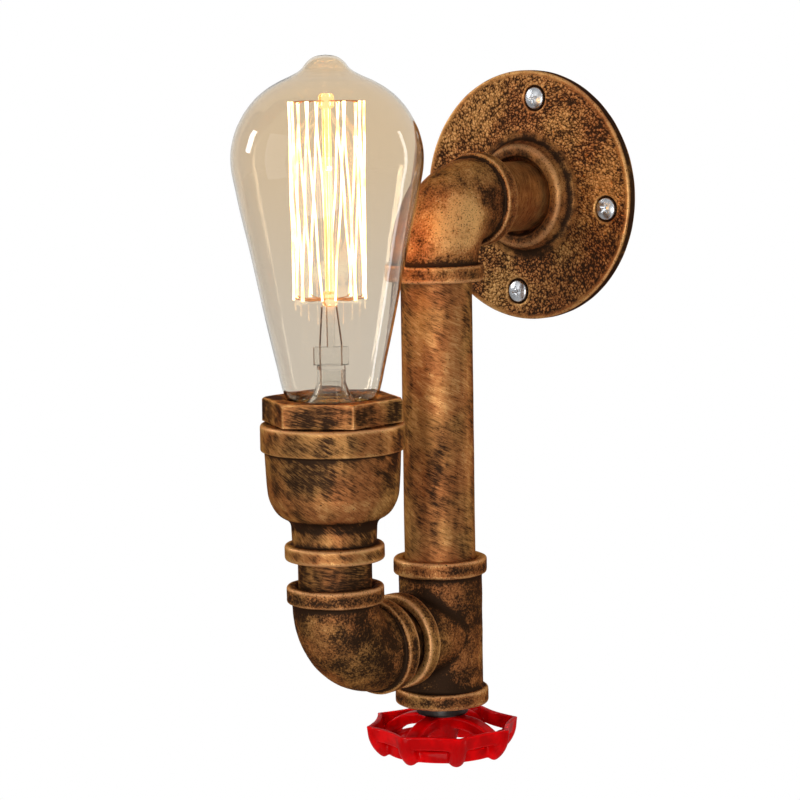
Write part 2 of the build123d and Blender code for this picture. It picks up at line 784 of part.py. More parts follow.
def make_wheel():
    """Red valve wheel, its stem and what holds it on."""
    at_pipe = Pos(0, pipe_y, 0)
    rim = rim_block(0)
    for k in range(wheel_lobes):
        rim += Rot(0, 0, wheel_turn + k * 360 / wheel_lobes) * finger()
    rim -= rim_block(rim_wall)
    ring = post(ring_radius, ring_low, ring_top) - post(ring_inner_radius, ring_low, ring_top)
    hub = cone(hub_low_radius, hub_top_radius, wheel_hub_low, wheel_hub_top)
    wheel = rim + fillet(ring.edges(), ring_rounding) + hub
    for k in range(spoke_count):
        wheel += Rot(0, 0, wheel_turn + k * 360 / spoke_count) * spoke()
    stem_low = wheel_hub_low - washer_thickness - wheel_nut_height
    stem_radius = stem_od / 2
    wheel -= post(stem_radius, wheel_hub_low, wheel_hub_top)
    save(at_pipe * wheel, "handwheel")

    plug_top = tee_low + plug_height
    rotor_low = plug_top + switch_wall + rotor_gap
    rotor_top = rotor_low + rotor_height
    save(at_pipe * post(stem_radius, stem_low, rotor_top), "wheel_stem")
    rotor = fillet(post(rotor_od / 2, rotor_low, rotor_top).edges(), rotor_rounding)
    save(at_pipe * (rotor - post(stem_radius, rotor_low, rotor_top)), "switch_rotor")
    washer_low = wheel_hub_low - washer_thickness
    save(at_pipe * pipe(washer_od / 2, stem_radius, washer_low, wheel_hub_low), "wheel_washer")
    nut = hexagon(wheel_nut_across_flats, stem_low, wheel_nut_height)
    save(at_pipe * (nut - post(stem_radius, stem_low, washer_low)), "wheel_nut")


# ---------------------------------------------------------------- wires

def make_wires():
    """Four wires that lie inside the pipes all the way."""
    down = -branch_drop
    neutral = [(-wire_lane, wire_start, 0), (-wire_lane, pipe_y, 0), (-wire_lane, pipe_y, down),
               (-wire_lane, lamp_y, down), (-wire_lane, lamp_y, wire_end)]
    save(wire(neutral, [wire_bend] * 3), "neutral_wire")
    earth_y = lamp_y - earth_barrel_reach
    earth = [(0, wire_start, 0), (0, pipe_y, 0), (0, pipe_y, down), (0, earth_y, down),
             (0, earth_y, shoulder_low - earth_ring_thickness)]
    save(wire(earth, [wire_bend] * 3), "earth_wire")
    contact_top = switch_top + cover_thickness + contact_height
    live = [(wire_lane, wire_start, 0), (wire_lane, pipe_y, 0), (wire_lane, pipe_y, contact_top)]
    save(wire(live, [wire_bend]), "live_wire")
    start_y = pipe_y - switched_start
    level = down + switched_height
    switched = [(wire_lane, start_y, contact_top), (wire_lane, start_y, level), (wire_lane, lamp_y, level),
                (wire_lane, lamp_y, wire_end)]
    save(wire(switched, [switched_bend, wire_bend]), "switched_wire")


make_flange()
make_arm()
make_cup()
make_holder()
make_bulb()
make_switch()
make_wheel()
make_wires()
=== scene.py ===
"""Industrial pipe wall light: looks of the castings, pipes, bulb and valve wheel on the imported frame."""

import math

import bmesh
import bpy
import numpy as np
from mathutils import Matrix, Vector, noise


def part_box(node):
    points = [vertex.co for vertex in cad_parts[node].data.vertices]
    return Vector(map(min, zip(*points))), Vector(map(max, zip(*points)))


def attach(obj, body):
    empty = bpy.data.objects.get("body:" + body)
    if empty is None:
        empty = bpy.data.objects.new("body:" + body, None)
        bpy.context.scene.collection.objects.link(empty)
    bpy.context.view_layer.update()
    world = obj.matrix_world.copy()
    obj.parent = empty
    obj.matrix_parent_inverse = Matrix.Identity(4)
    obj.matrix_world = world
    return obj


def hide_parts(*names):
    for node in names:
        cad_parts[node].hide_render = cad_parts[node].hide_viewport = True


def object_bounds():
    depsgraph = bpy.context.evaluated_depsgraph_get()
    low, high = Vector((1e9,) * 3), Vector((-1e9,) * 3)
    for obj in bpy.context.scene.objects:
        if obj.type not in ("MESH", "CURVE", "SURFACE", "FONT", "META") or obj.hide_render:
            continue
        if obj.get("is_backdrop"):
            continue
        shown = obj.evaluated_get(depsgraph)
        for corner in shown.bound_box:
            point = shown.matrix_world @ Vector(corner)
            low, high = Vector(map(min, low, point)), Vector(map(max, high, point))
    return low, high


bl_info = {
    "name": "Industrial Pipe Wall Light",
    "version": (1, 0, 0),
    "blender": (4, 5, 0),
    "location": "View3D > Sidebar > Pipe Light",
    "description": "Dresses a pipe wall light with a bare filament bulb and a red valve wheel",
    "category": "Add Mesh",
}

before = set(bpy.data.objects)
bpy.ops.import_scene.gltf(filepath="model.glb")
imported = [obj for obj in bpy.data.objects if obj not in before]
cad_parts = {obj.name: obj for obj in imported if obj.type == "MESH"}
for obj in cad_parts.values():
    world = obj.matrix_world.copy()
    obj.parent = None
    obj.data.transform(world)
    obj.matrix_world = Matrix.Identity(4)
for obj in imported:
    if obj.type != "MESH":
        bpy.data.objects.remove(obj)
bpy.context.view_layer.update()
MM = 0.001


def middle(node):
    """Centre of a CAD node's box."""
    low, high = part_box(node)
    return (low + high) / 2


def half_width(node):
    """Half the width of a CAD node's box."""
    low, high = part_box(node)
    return (high.x - low.x) / 2


# Places and sizes that come from the frame
PIPE_Y = middle("main_pipe").y
LAMP_Y = middle("lamp_cup").y
BRANCH_Z = middle("branch_nipple").z
PIPE_RADIUS = half_width("main_pipe")
BAND_RADIUS = half_width("upper_elbow")
FLANGE_RADIUS = half_width("wall_flange")
HUB_HEIGHT = -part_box("wall_flange")[0].y
CAP_LOW, CAP_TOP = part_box("bulb_cap")[0].z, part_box("bulb_cap")[1].z
GLASS_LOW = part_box("bulb_glass")[0].z
OUT_OF_WALL = Matrix.Rotation(math.pi / 2, 4, "X")

# Sizes that several pieces share
SOCKET_RADIUS = PIPE_RADIUS + 0.05 * MM
WATER_WAY = 10.3 * MM
PLATE = 4.2 * MM
FACE_START = 22.6 * MM
SCREWS = 4
SCREW_CIRCLE = 35.25 * MM
FIRST_SCREW_DEGREES = -6.8
CAP_PITCH = 3.629 * MM
GLASS_WALL = 0.7 * MM
CAGE_TOP, CAGE_LOW = 36.5 * MM, -29.0 * MM
CAGE_RADIUS, CAGE_LOW_RADIUS = 12.2 * MM, 11.8 * MM
HOOKS = 10
CAGE_OPEN = math.radians(24.0)
BULB_TURN = math.radians(39.0)
HOOK_STEP = (2 * math.pi - CAGE_OPEN) / HOOKS
FIRST_PLACE = -math.pi / 2 + CAGE_OPEN / 2

# Where each layer of the bronze finish begins and is full
BRONZE_COVER = (0.41, 0.55)
GOLD_COVER = (0.52, 0.68)
COPPER_WEAR = (0.68, 0.95)
PIT_GRIT = (0.31, 0.42)


# ---------------------------------------------------------------- settings

class PipeLightSizes(bpy.types.PropertyGroup):
    """Sizes of the surface detail"""
    cast_cell: bpy.props.FloatProperty(
        name="Casting Cell", description="Mesh size of the remeshed castings",
        default=0.45 * MM, min=0.2 * MM, unit="LENGTH", subtype="DISTANCE")
    wheel_cell: bpy.props.FloatProperty(
        name="Wheel Cell", description="Mesh size of the valve wheel",
        default=0.36 * MM, min=0.2 * MM, unit="LENGTH", subtype="DISTANCE")
    sand: bpy.props.FloatProperty(
        name="Sand", description="Height of the sandy skin on the castings",
        default=0.045 * MM, min=0.0, unit="LENGTH", subtype="DISTANCE")
    pebble: bpy.props.FloatProperty(
        name="Pebble", description="Height of the pebbled pattern on the wall flange",
        default=0.20 * MM, min=0.0, unit="LENGTH", subtype="DISTANCE")
    pebble_spacing: bpy.props.FloatProperty(
        name="Pebble Spacing", description="Distance between two pebbles",
        default=1.0 * MM, min=0.3 * MM, unit="LENGTH", subtype="DISTANCE")
    strand: bpy.props.FloatProperty(
        name="Strand", description="Thickness of the glowing filament",
        default=0.74 * MM, min=0.1 * MM, unit="LENGTH", subtype="DISTANCE")
    strand_wander: bpy.props.FloatProperty(
        name="Strand Wander", description="How far the hot filament strays from a straight line",
        default=0.35 * MM, min=0.0, unit="LENGTH", subtype="DISTANCE")
    cross_turn: bpy.props.FloatProperty(
        name="Cross Turn", description="Largest turn of a screw's cross recess",
        default=math.radians(80), unit="ROTATION", subtype="ANGLE")


class PipeLightFinish(bpy.types.PropertyGroup):
    """Colours of the finishes"""
    bronze: bpy.props.FloatVectorProperty(
        name="Bronze", description="Golden brown lacquer where it is rubbed", subtype="COLOR", size=3,
        default=(0.38, 0.180, 0.057))
    russet: bpy.props.FloatVectorProperty(
        name="Russet", description="Redder patches of the lacquer", subtype="COLOR", size=3,
        default=(0.37, 0.135, 0.044))
    gold: bpy.props.FloatVectorProperty(
        name="Gold", description="Brightest grains and strokes", subtype="COLOR", size=3,
        default=(0.72, 0.41, 0.150))
    patina: bpy.props.FloatVectorProperty(
        name="Patina", description="Dark wash left in the hollows", subtype="COLOR", size=3,
        default=(0.035, 0.018, 0.010))
    copper: bpy.props.FloatVectorProperty(
        name="Copper", description="Worn edges", subtype="COLOR", size=3,
        default=(0.78, 0.40, 0.175))
    enamel: bpy.props.FloatVectorProperty(
        name="Enamel", description="Red enamel of the valve wheel", subtype="COLOR", size=3,
        default=(0.74, 0.0010, 0.0022))
    zinc: bpy.props.FloatVectorProperty(
        name="Zinc", description="Plating of the screws", subtype="COLOR", size=3,
        default=(0.66, 0.68, 0.71))
    brass: bpy.props.FloatVectorProperty(
        name="Brass", description="Screw cap and contacts", subtype="COLOR", size=3,
        default=(0.86, 0.60, 0.22))
    amber: bpy.props.FloatVectorProperty(
        name="Amber", description="Tint of the glass near the crown", subtype="COLOR", size=3,
        default=(0.81, 0.705, 0.56))
    smoke: bpy.props.FloatVectorProperty(
        name="Smoke", description="Tint of the glass near the neck", subtype="COLOR", size=3,
        default=(0.77, 0.715, 0.635))
    glow: bpy.props.FloatVectorProperty(
        name="Glow", description="Colour of the lit filament", subtype="COLOR", size=3,
        default=(1.0, 0.70, 0.30))


class PipeLightStage(bpy.types.PropertyGroup):
    """Camera and lamps"""
    azimuth: bpy.props.FloatProperty(
        name="Azimuth", description="Camera's turn round the light",
        default=math.radians(39.05), unit="ROTATION", subtype="ANGLE")
    elevation: bpy.props.FloatProperty(
        name="Elevation", description="Camera's height angle",
        default=math.radians(7.10), unit="ROTATION", subtype="ANGLE")
    roll: bpy.props.FloatProperty(
        name="Roll", description="Camera's tilt to the side",
        default=math.radians(-0.93), unit="ROTATION", subtype="ANGLE")
    distance: bpy.props.FloatProperty(
        name="Distance", description="From the camera to its target",
        default=0.9689, unit="LENGTH", subtype="DISTANCE")
    lens: bpy.props.FloatProperty(
        name="Lens", description="Focal length on a 36 mm sensor, in millimetres", default=124.64)
    key_power: bpy.props.FloatProperty(
        name="Key Power", description="Large lamp in front", default=4.2, unit="POWER")
    fill_power: bpy.props.FloatProperty(
        name="Fill Power", description="Narrow lamp at the right", default=1.1, unit="POWER")
    filament_power: bpy.props.FloatProperty(
        name="Filament Power", description="Warm light from inside the bulb", default=0.62, unit="POWER")


# ---------------------------------------------------------------- shader helpers

def add(tree, kind, inputs=None, **settings):
    """One node, with its settings and its input values or links."""
    node = tree.nodes.new(kind)
    for key, value in settings.items():
        setattr(node, key, value)
    for key, value in (inputs or {}).items():
        socket = node.inputs[key]
        if isinstance(value, bpy.types.NodeSocket):
            tree.links.new(value, socket)
        else:
            socket.default_value = value
    return node


def feed(tree, shader, **values):
    """Link computed values to a shader's inputs."""
    for name, value in values.items():
        tree.links.new(value, shader.inputs[name.replace("_", " ")])


def calc(tree, operation, *values):
    """Result of one Math node."""
    return add(tree, "ShaderNodeMath", dict(enumerate(values)), operation=operation).outputs[0]


def vector_calc(tree, operation, first, second, output=0):
    """Result of one Vector Math node."""
    return add(tree, "ShaderNodeVectorMath", {0: first, 1: second}, operation=operation).outputs[output]


def triple(tree, x=0.0, y=0.0, z=0.0):
    """Vector of three values."""
    return add(tree, "ShaderNodeCombineXYZ", {0: x, 1: y, 2: z}).outputs[0]


def parts_of(tree, vector):
    """The three values of a vector."""
    return add(tree, "ShaderNodeSeparateXYZ", {0: vector}).outputs


def blend_values(tree, share, low, high):
    """Value between two, by a share."""
    return add(tree, "ShaderNodeMix", {0: share, 2: low, 3: high}, data_type="FLOAT").outputs[0]


def blend_colours(tree, share, low, high):
    """Colour between two, by a share."""
    low, high = (end if isinstance(end, bpy.types.NodeSocket) else (*end, 1.0) for end in (low, high))
    return add(tree, "ShaderNodeMix", {0: share, 6: low, 7: high}, data_type="RGBA").outputs[2]


def spread(tree, value, low, high, to_low=0.0, to_high=1.0):
    """Value taken smoothly from one range to another."""
    return add(tree, "ShaderNodeMapRange", {"Value": value, "From Min": low, "From Max": high,
               "To Min": to_low, "To Max": to_high}, interpolation_type="SMOOTHSTEP").outputs[0]


def speckle(tree, vector, scale, detail=3.0, roughness=0.55, distortion=0.0):
    """Noise whose scale is given in patches per metre."""
    return add(tree, "ShaderNodeTexNoise", {
        "Vector": vector, "Scale": scale, "Detail": detail, "Roughness": roughness,
        "Distortion": distortion}).outputs["Fac"]


def finish_material(name, **values):
    """Material with a Principled shader; returns it with its tree and shader."""
    material = bpy.data.materials.new(name)
    material.use_nodes = True
    tree = material.node_tree
    tree.nodes.clear()
    shader = add(tree, "ShaderNodeBsdfPrincipled", {key.replace("_", " "): value
                                                   for key, value in values.items()})
    add(tree, "ShaderNodeOutputMaterial", {"Surface": shader.outputs[0]})
    return material, tree, shader


def object_place(tree, centre=(0, 0, 0), turn=(0, 0, 0)):
    """Object coordinates counted from a centre, in a turned frame."""
    place = add(tree, "ShaderNodeTexCoord").outputs["Object"]
    moved = vector_calc(tree, "SUBTRACT", place, centre)
    return add(tree, "ShaderNodeMapping", {"Vector": moved, "Rotation": turn},
               vector_type="TEXTURE").outputs[0]


def round_place(tree, local, radius):
    """Coordinates unrolled from a local upright cylinder: along the girth, height, distance out."""
    x, y, height = parts_of(tree, local)
    angle = calc(tree, "ARCTAN2", x, calc(tree, "MULTIPLY", y, -1.0))
    out = calc(tree, "SQRT", calc(tree, "ADD", calc(tree, "MULTIPLY", x, x), calc(tree, "MULTIPLY", y, y)))
    return triple(tree, calc(tree, "MULTIPLY", angle, radius), height, out)


def weighed(tree, *parts):
    """Sum of values, each with its weight."""
    total = 0.0
    for value, weight in parts:
        total = calc(tree, "MULTIPLY_ADD", value, weight, total)
    return total


def bump(tree, shader, height, distance, strength=1.0):
    """Bump of a height, in metres, on a shader."""
    node = add(tree, "ShaderNodeBump", {"Height": height, "Distance": distance, "Strength": strength})
    feed(tree, shader, Normal=node.outputs[0])


def attribute(tree, name):
    """Value that is kept on the mesh's points."""
    return add(tree, "ShaderNodeAttribute", attribute_name=name).outputs["Fac"]


# ---------------------------------------------------------------- finishes

def bronze_layers(tree, shader, finish, cover, grit, worn=0.8):
    """Patina, bronze, gold and copper edges laid over each other; the cover's mean is about a half."""
    wear = attribute(tree, "wear")
    hue = speckle(tree, object_place(tree), 45.0, 2.0, 0.5)
    bronze = blend_colours(tree, spread(tree, hue, 0.38, 0.62), finish.russet, finish.bronze)
    relief = add(tree, "ShaderNodeClamp", {"Value": calc(tree, "SUBTRACT", wear, 0.5),
                                           "Min": -0.16, "Max": 0.25}).outputs[0]
    cover = calc(tree, "MULTIPLY_ADD", relief, 0.5, cover)
    base = blend_colours(tree, spread(tree, cover, *BRONZE_COVER), finish.patina, bronze)
    base = blend_colours(tree, spread(tree, cover, *GOLD_COVER, 0.0, 0.85), base, finish.gold)
    base = blend_colours(tree, spread(tree, wear, *COPPER_WEAR, 0.0, worn), base, finish.copper)
    base = blend_colours(tree, spread(tree, grit, *PIT_GRIT), finish.patina, base)
    feed(tree, shader, Base_Color=base, Roughness=spread(tree, cover, 0.38, 0.70, 0.62, 0.42))


def lacquered(name):
    """Metal under a tinted lacquer: a Principled shader whose grazing reflections stay brown."""
    return finish_material(name, Metallic=0.9, Specular_Tint=(0.55, 0.34, 0.18, 1.0))


def cast_bronze(finish, name, tone, painted_highlight_spot=None):
    """Sandy castings: blotches of dark wash and a gritty skin; round one given spot a painted highlight, with
    painted shade farther from it.
    """
    material, tree, shader = lacquered(name)
    place = object_place(tree)
    grains = speckle(tree, place, 1300.0, 4.0, 0.75)
    clouds = speckle(tree, place, 260.0, 4.0, 0.65)
    blotches = speckle(tree, place, 80.0, 3.0, 0.6)
    cover = calc(tree, "ADD", weighed(tree, (grains, 0.46), (clouds, 0.24), (blotches, 0.34)), tone)
    # Painted highlight within about 7 mm of the spot, painted shade beyond 17 mm from it.
    if painted_highlight_spot:
        away = vector_calc(tree, "DISTANCE", place, painted_highlight_spot, "Value")
        cover = calc(tree, "ADD", cover, spread(tree, away, 7 * MM, 17 * MM, 0.10, -0.055))
    grit = speckle(tree, place, 1900.0, 2.0, 0.5)
    bronze_layers(tree, shader, finish, cover, grit)
    bump(tree, shader, weighed(tree, (grains, 1.0), (clouds, 0.8), (grit, 0.5)), 0.16 * MM)
    return material


def brushed_bronze(finish, name, tone, centre, turn, radius, slant):
    """Lacquer brushed on in slanting strokes round a pipe or a turned casting."""
    material, tree, shader = lacquered(name)
    local = object_place(tree, centre, turn)
    turned = add(tree, "ShaderNodeVectorRotate", {
        "Vector": round_place(tree, local, radius), "Angle": slant}, rotation_type="Z_AXIS").outputs[0]
    strokes, patches, bands = (
        speckle(tree, vector_calc(tree, "MULTIPLY", place, per_metre), 1.0, detail, roughness, 0.3)
        for place, per_metre, detail, roughness in (
            (turned, (300.0, 2300.0, 500.0), 4.0, 0.7), (turned, (170.0, 420.0, 180.0), 3.0, 0.6),
            (local, (80.0, 80.0, 28.0), 3.0, 0.6)))
    cover = calc(tree, "ADD", weighed(tree, (strokes, 0.36), (patches, 0.22), (bands, 0.44)), tone)
    grit = speckle(tree, local, 1900.0, 2.0, 0.5)
    bronze_layers(tree, shader, finish, cover, calc(tree, "ADD", grit, 0.04))
    bump(tree, shader, weighed(tree, (strokes, 1.0), (grit, 0.35)), 0.08 * MM, 0.8)
    return material


def pebbled_bronze(finish):
    """Flange: rubbed pebbles on a dark ground, painted shade on the side wall, and a darker hub."""
    material, tree, shader = lacquered("Pebbled bronze")
    place = object_place(tree)
    grit = speckle(tree, place, 1900.0, 2.0, 0.55)
    clouds = speckle(tree, place, 300.0, 4.0, 0.6)
    blotches = speckle(tree, place, 45.0, 3.0, 0.55)
    depth = parts_of(tree, place)[1]
    # Painted shade on the plate's outer side wall, kept off its back.
    side = calc(tree, "MULTIPLY", spread(tree, depth, 0.3 * MM - PLATE, 1.4 * MM - PLATE),
                spread(tree, depth, -0.1 * MM, -0.6 * MM))
    hub = spread(tree, depth, -PLATE - 2.5 * MM, -PLATE - 5.0 * MM)
    cover = weighed(tree, (attribute(tree, "grain"), 0.15), (grit, 0.14), (clouds, 0.28), (blotches, 0.34),
                    (side, -0.16), (hub, -0.12))
    bronze_layers(tree, shader, finish, calc(tree, "ADD", cover, 0.03), grit, 0.35)
    bump(tree, shader, weighed(tree, (grit, 1.0), (clouds, 0.6)), 0.08 * MM, 0.7)
    return material


def shaded(colour, factor):
    """Colour made darker or lighter by a factor."""
    return tuple(min(1.0, value * factor) for value in colour)


def enamel(finish):
    """Glossy enamel over a slightly uneven casting, thin and lighter on the edges."""
    material, tree, shader = finish_material(
        "Red enamel", Roughness=0.34, Specular_IOR_Level=0.02, Coat_Weight=0.10, Coat_Roughness=0.05)
    place = object_place(tree)
    pool = speckle(tree, place, 130.0, 3.0, 0.5)
    base = blend_colours(tree, spread(tree, pool, 0.35, 0.65), shaded(finish.enamel, 0.6), finish.enamel)
    thin = spread(tree, attribute(tree, "wear"), 0.70, 1.0, 0.0, 0.35)
    feed(tree, shader, Base_Color=blend_colours(tree, thin, base, shaded(finish.enamel, 1.5)))
    bump(tree, shader, speckle(tree, place, 420.0, 3.0, 0.45), 0.10 * MM, 0.35)
    return material


def plated(name, colour, roughness, streaks=900.0, tarnish=0.35, dark=0.45):
    """Bare or plated metal with fine marks and some tarnish."""
    material, tree, shader = finish_material(name, Metallic=1.0)
    place = object_place(tree)
    marks = speckle(tree, place, streaks, 4.0, 0.7, 0.4)
    cloud = speckle(tree, place, streaks * 0.18, 3.0, 0.6)
    share = spread(tree, calc(tree, "ADD", calc(tree, "MULTIPLY", marks, 0.5),
                              calc(tree, "MULTIPLY", cloud, 0.5)), tarnish, tarnish + 0.25)
    feed(tree, shader, Base_Color=blend_colours(tree, share, shaded(colour, dark), colour),
         Roughness=spread(tree, marks, 0.3, 0.7, roughness + 0.14, roughness))
    bump(tree, shader, marks, 0.03 * MM, 0.5)
    return material


def moulded(name, colour, roughness, grain=2200.0):
    """Moulded plastic, porcelain or insulation with a faint skin and clouding."""
    material, tree, shader = finish_material(name, IOR=1.48)
    place = object_place(tree)
    cloud = speckle(tree, place, 160.0, 3.0, 0.5)
    skin = speckle(tree, place, grain, 2.0, 0.5)
    feed(tree, shader, Base_Color=blend_colours(tree, cloud, shaded(colour, 0.8), colour),
         Roughness=spread(tree, skin, 0.3, 0.7, roughness, roughness + 0.12))
    bump(tree, shader, skin, 0.02 * MM, 0.6)
    return material


def striped_insulation(name, first, second):
    """Insulation of two colours, one on each side of the wire, with a few smudges."""
    material, tree, shader = finish_material(name, Roughness=0.38)
    place = object_place(tree)
    side = calc(tree, "GREATER_THAN", parts_of(tree, place)[0], 0.1 * MM)
    base = blend_colours(tree, side, first, second)
    smudge = spread(tree, speckle(tree, place, 300.0), 0.2, 0.8, 0.0, 0.2)
    feed(tree, shader, Base_Color=blend_colours(tree, smudge, base, (0.02, 0.02, 0.02)))
    return material


def bulb_glass_material(finish):
    """Blown glass: amber at the crown, smoky at the neck, with faint ripples."""
    material, tree, shader = finish_material(
        "Amber glass", Roughness=0.0, IOR=1.46, Transmission_Weight=1.0)
    place = object_place(tree)
    cloud = calc(tree, "SUBTRACT", speckle(tree, place, 30.0, 2.0, 0.5), 0.5)
    height = calc(tree, "MULTIPLY_ADD", cloud, 20 * MM, parts_of(tree, place)[2])
    share = spread(tree, height, -50 * MM, 34 * MM)
    feed(tree, shader, Base_Color=blend_colours(tree, share, finish.smoke, finish.amber))
    bump(tree, shader, speckle(tree, place, 45.0, 1.0, 0.4), 0.25 * MM, 0.25)
    return material


def clear_glass_material():
    """Clear glass of the stem, a little seedy; its rod has a painted glow, as if lit through by the filament
    round it.
    """
    material, tree, shader = finish_material(
        "Stem glass", Roughness=0.03, IOR=1.5, Transmission_Weight=1.0, Emission_Color=(1.0, 0.42, 0.08, 1.0))
    place = object_place(tree)
    cloud = speckle(tree, place, 500.0, 2.0, 0.5)
    # Painted glow on the rod, fading out just below the filament's lower hooks.
    lit = spread(tree, parts_of(tree, place)[2], CAGE_LOW - 6 * MM, CAGE_LOW + 2 * MM, 0.0, 0.75)
    feed(tree, shader, Emission_Strength=lit,
         Base_Color=blend_colours(tree, cloud, (0.86, 0.87, 0.86), (0.98, 0.98, 0.97)))
    bump(tree, shader, cloud, 0.1 * MM, 0.3)
    return material


def glowing(finish):
    """Lit filament, hotter in some places than in others."""
    material, tree, shader = finish_material("Glowing filament", Roughness=0.6, Emission_Strength=6.0)
    heat = speckle(tree, object_place(tree), 140.0, 3.0, 0.6)
    cool = (1.0, finish.glow[1] * 0.72, finish.glow[2] * 0.55)
    hot = (1.0, 0.86, 0.55)
    feed(tree, shader, Emission_Color=blend_colours(tree, spread(tree, heat, 0.3, 0.7), cool, hot),
         Base_Color=blend_colours(tree, heat, (0.2, 0.1, 0.05), (0.4, 0.25, 0.12)))
    return material


# ---------------------------------------------------------------- mesh helpers

def rounded(corners, pieces=6, step=None):
    """Outline of corners (across, along, rounding), each turned into a soft bend, closed on itself.

    The step is a length, or a function that gives it for a place on the outline."""
    outline = []
    count = len(corners)
    for k, (x, y, rounding) in enumerate(corners):
        here = np.array((x, y))
        before = np.array(corners[k - 1][:2]) - here
        after = np.array(corners[(k + 1) % count][:2]) - here
        reach = min(rounding, 0.49 * np.linalg.norm(before), 0.49 * np.linalg.norm(after))
        if reach <= 0:
            outline.append(here)
            continue
        start = here + before / np.linalg.norm(before) * reach
        end = here + after / np.linalg.norm(after) * reach
        for t in np.linspace(0, 1, pieces):
            outline.append((1 - t) ** 2 * start + 2 * t * (1 - t) * here + t * t * end)
    outline = np.array(outline)
    if step:
        cut = []
        for here, after in zip(outline, np.roll(outline, -1, axis=0)):
            size = step(*(here + after) / 2) if callable(step) else step
            parts = max(1, round(float(np.linalg.norm(after - here)) / size))
            cut.extend(here + (after - here) * t / parts for t in range(parts))
        outline = np.array(cut)
    return outline


def ring_mesh(rings, closed=True):
    """Points and faces of a skin through rings of points; the rings are rows of an array."""
    count, segments = rings.shape[:2]
    index = np.arange(count * segments).reshape(count, segments)
    rows = count if closed else count - 1
    here, after = index[:rows], np.roll(index, -1, axis=0)[:rows]
    faces = np.stack([here, np.roll(here, -1, axis=1), np.roll(after, -1, axis=1), after], axis=-1)
    return rings.reshape(-1, 3), faces.reshape(-1, 4)


def lathe(outline, segments, centre=(0, 0, 0), closed=True):
    """Skin of an outline (radius, height) turned about an upright axis."""
    angles = np.linspace(0, 2 * math.pi, segments, endpoint=False)
    outline = np.asarray(outline)
    rings = np.empty((len(outline), segments, 3))
    rings[..., 0] = outline[:, :1] * np.cos(angles) + centre[0]
    rings[..., 1] = outline[:, :1] * np.sin(angles) + centre[1]
    rings[..., 2] = outline[:, 1:2] + centre[2]
    return ring_mesh(rings, closed)


def new_object(name, data):
    """New object that is part of the scene."""
    made = bpy.data.objects.new(name, data)
    bpy.context.scene.collection.objects.link(made)
    return made


def merged(mesh, reach, outwards=False):
    """Join a mesh's double points, and turn its faces outwards where that is asked for."""
    work = bmesh.new()
    work.from_mesh(mesh)
    bmesh.ops.remove_doubles(work, verts=work.verts, dist=reach)
    if outwards:
        bmesh.ops.recalc_face_normals(work, faces=work.faces)
    work.to_mesh(mesh)
    work.free()


def plain_mesh(piece):
    """Make what a piece's modifiers show its own mesh."""
    bpy.context.view_layer.update()
    evaluated = piece.evaluated_get(bpy.context.evaluated_depsgraph_get())
    piece.data = bpy.data.meshes.new_from_object(evaluated)
    piece.modifiers.clear()
    return piece.data


def mesh_piece(name, points, faces):
    """New object with a smooth mesh; double points are joined and its faces point outwards."""
    mesh = bpy.data.meshes.new(name)
    mesh.from_pydata(np.asarray(points).tolist(), [], np.asarray(faces).tolist())
    merged(mesh, 1e-7, outwards=True)
    mesh.shade_smooth()
    return new_object(name, mesh)


def points_of(mesh, what="co"):
    """Places or normals of a mesh's points as rows of an array."""
    values = np.empty(len(mesh.vertices) * 3)
    mesh.vertices.foreach_get(what, values)
    return values.reshape(-1, 3)


def neighbour_mean(values, edges, count):
    """Mean of each point's neighbours."""
    ends = np.concatenate([edges[:, 0], edges[:, 1]])
    others = np.concatenate([edges[:, 1], edges[:, 0]])
    share = np.maximum(np.bincount(ends, minlength=count), 1)
    return np.stack([np.bincount(ends, values[others, k], count) / share for k in range(3)], axis=1)


def keep_value(mesh, name, values):
    """Keep one value for each point under a name that a material can read."""
    kept = mesh.attributes.get(name) or mesh.attributes.new(name, "FLOAT", "POINT")
    kept.data.foreach_set("value", np.asarray(values, np.float32))


def mark_wear(mesh, rounds=14, height=0.45 * MM):
    """Keep on each point how far it stands out: 1 on worn edges, 0 in the hollows."""
    edges = np.empty(len(mesh.edges) * 2, int)
    mesh.edges.foreach_get("vertices", edges)
    edges = edges.reshape(-1, 2)
    start = points_of(mesh)
    flat = start
    for _ in range(rounds):
        flat = neighbour_mean(flat, edges, len(flat))
    out = ((start - flat) * points_of(mesh, "normal")).sum(axis=1)
    keep_value(mesh, "wear", np.clip(0.5 + out / height * 0.5, 0, 1))


def roughen(mesh, layers, seed=0.0):
    """Push the points in and out by layers of noise: (patches per metre, height in metres)."""
    places, normals = points_of(mesh), points_of(mesh, "normal")
    push = np.zeros(len(places))
    shift = Vector((seed, seed, seed))
    for scale, height in layers:
        push += np.array([noise.noise(Vector(place) * scale + shift) for place in places]) * height
    mesh.vertices.foreach_set("co", (places + normals * push[:, None]).ravel())
    mesh.update()


def remeshed(name, node, cell, smooth_rounds):
    """Copy of a CAD solid with an even skin and softened edges."""
    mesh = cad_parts[node].data.copy()
    mesh.materials.clear()
    merged(mesh, 1e-6)
    piece = new_object(name, mesh)
    remesh = piece.modifiers.new("Even skin", "REMESH")
    remesh.mode = "VOXEL"
    remesh.voxel_size = cell
    smooth = piece.modifiers.new("Soft edges", "SMOOTH")
    smooth.factor = 0.5
    smooth.iterations = smooth_rounds
    plain_mesh(piece).shade_smooth()
    bpy.data.meshes.remove(mesh)
    return piece


def dress(piece, body, slot, material, *nodes):
    """Give a finished piece its material and its body, and hide the nodes it stands for; the slot is not
    used.
    """
    piece.data.materials.clear()
    piece.data.materials.append(material)
    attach(piece, body)
    if nodes:
        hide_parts(*nodes)


def coat(node, material):
    """Give a CAD node that stays as it is its material."""
    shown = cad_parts[node]
    shown.data.materials.clear()
    shown.data.materials.append(material)
    for polygon in shown.data.polygons:
        polygon.material_index = 0


def need(condition, message):
    """Stop the script with a message if something it relies on is missing."""
    if not condition:
        raise RuntimeError(message)


# ---------------------------------------------------------------- geometry node helpers

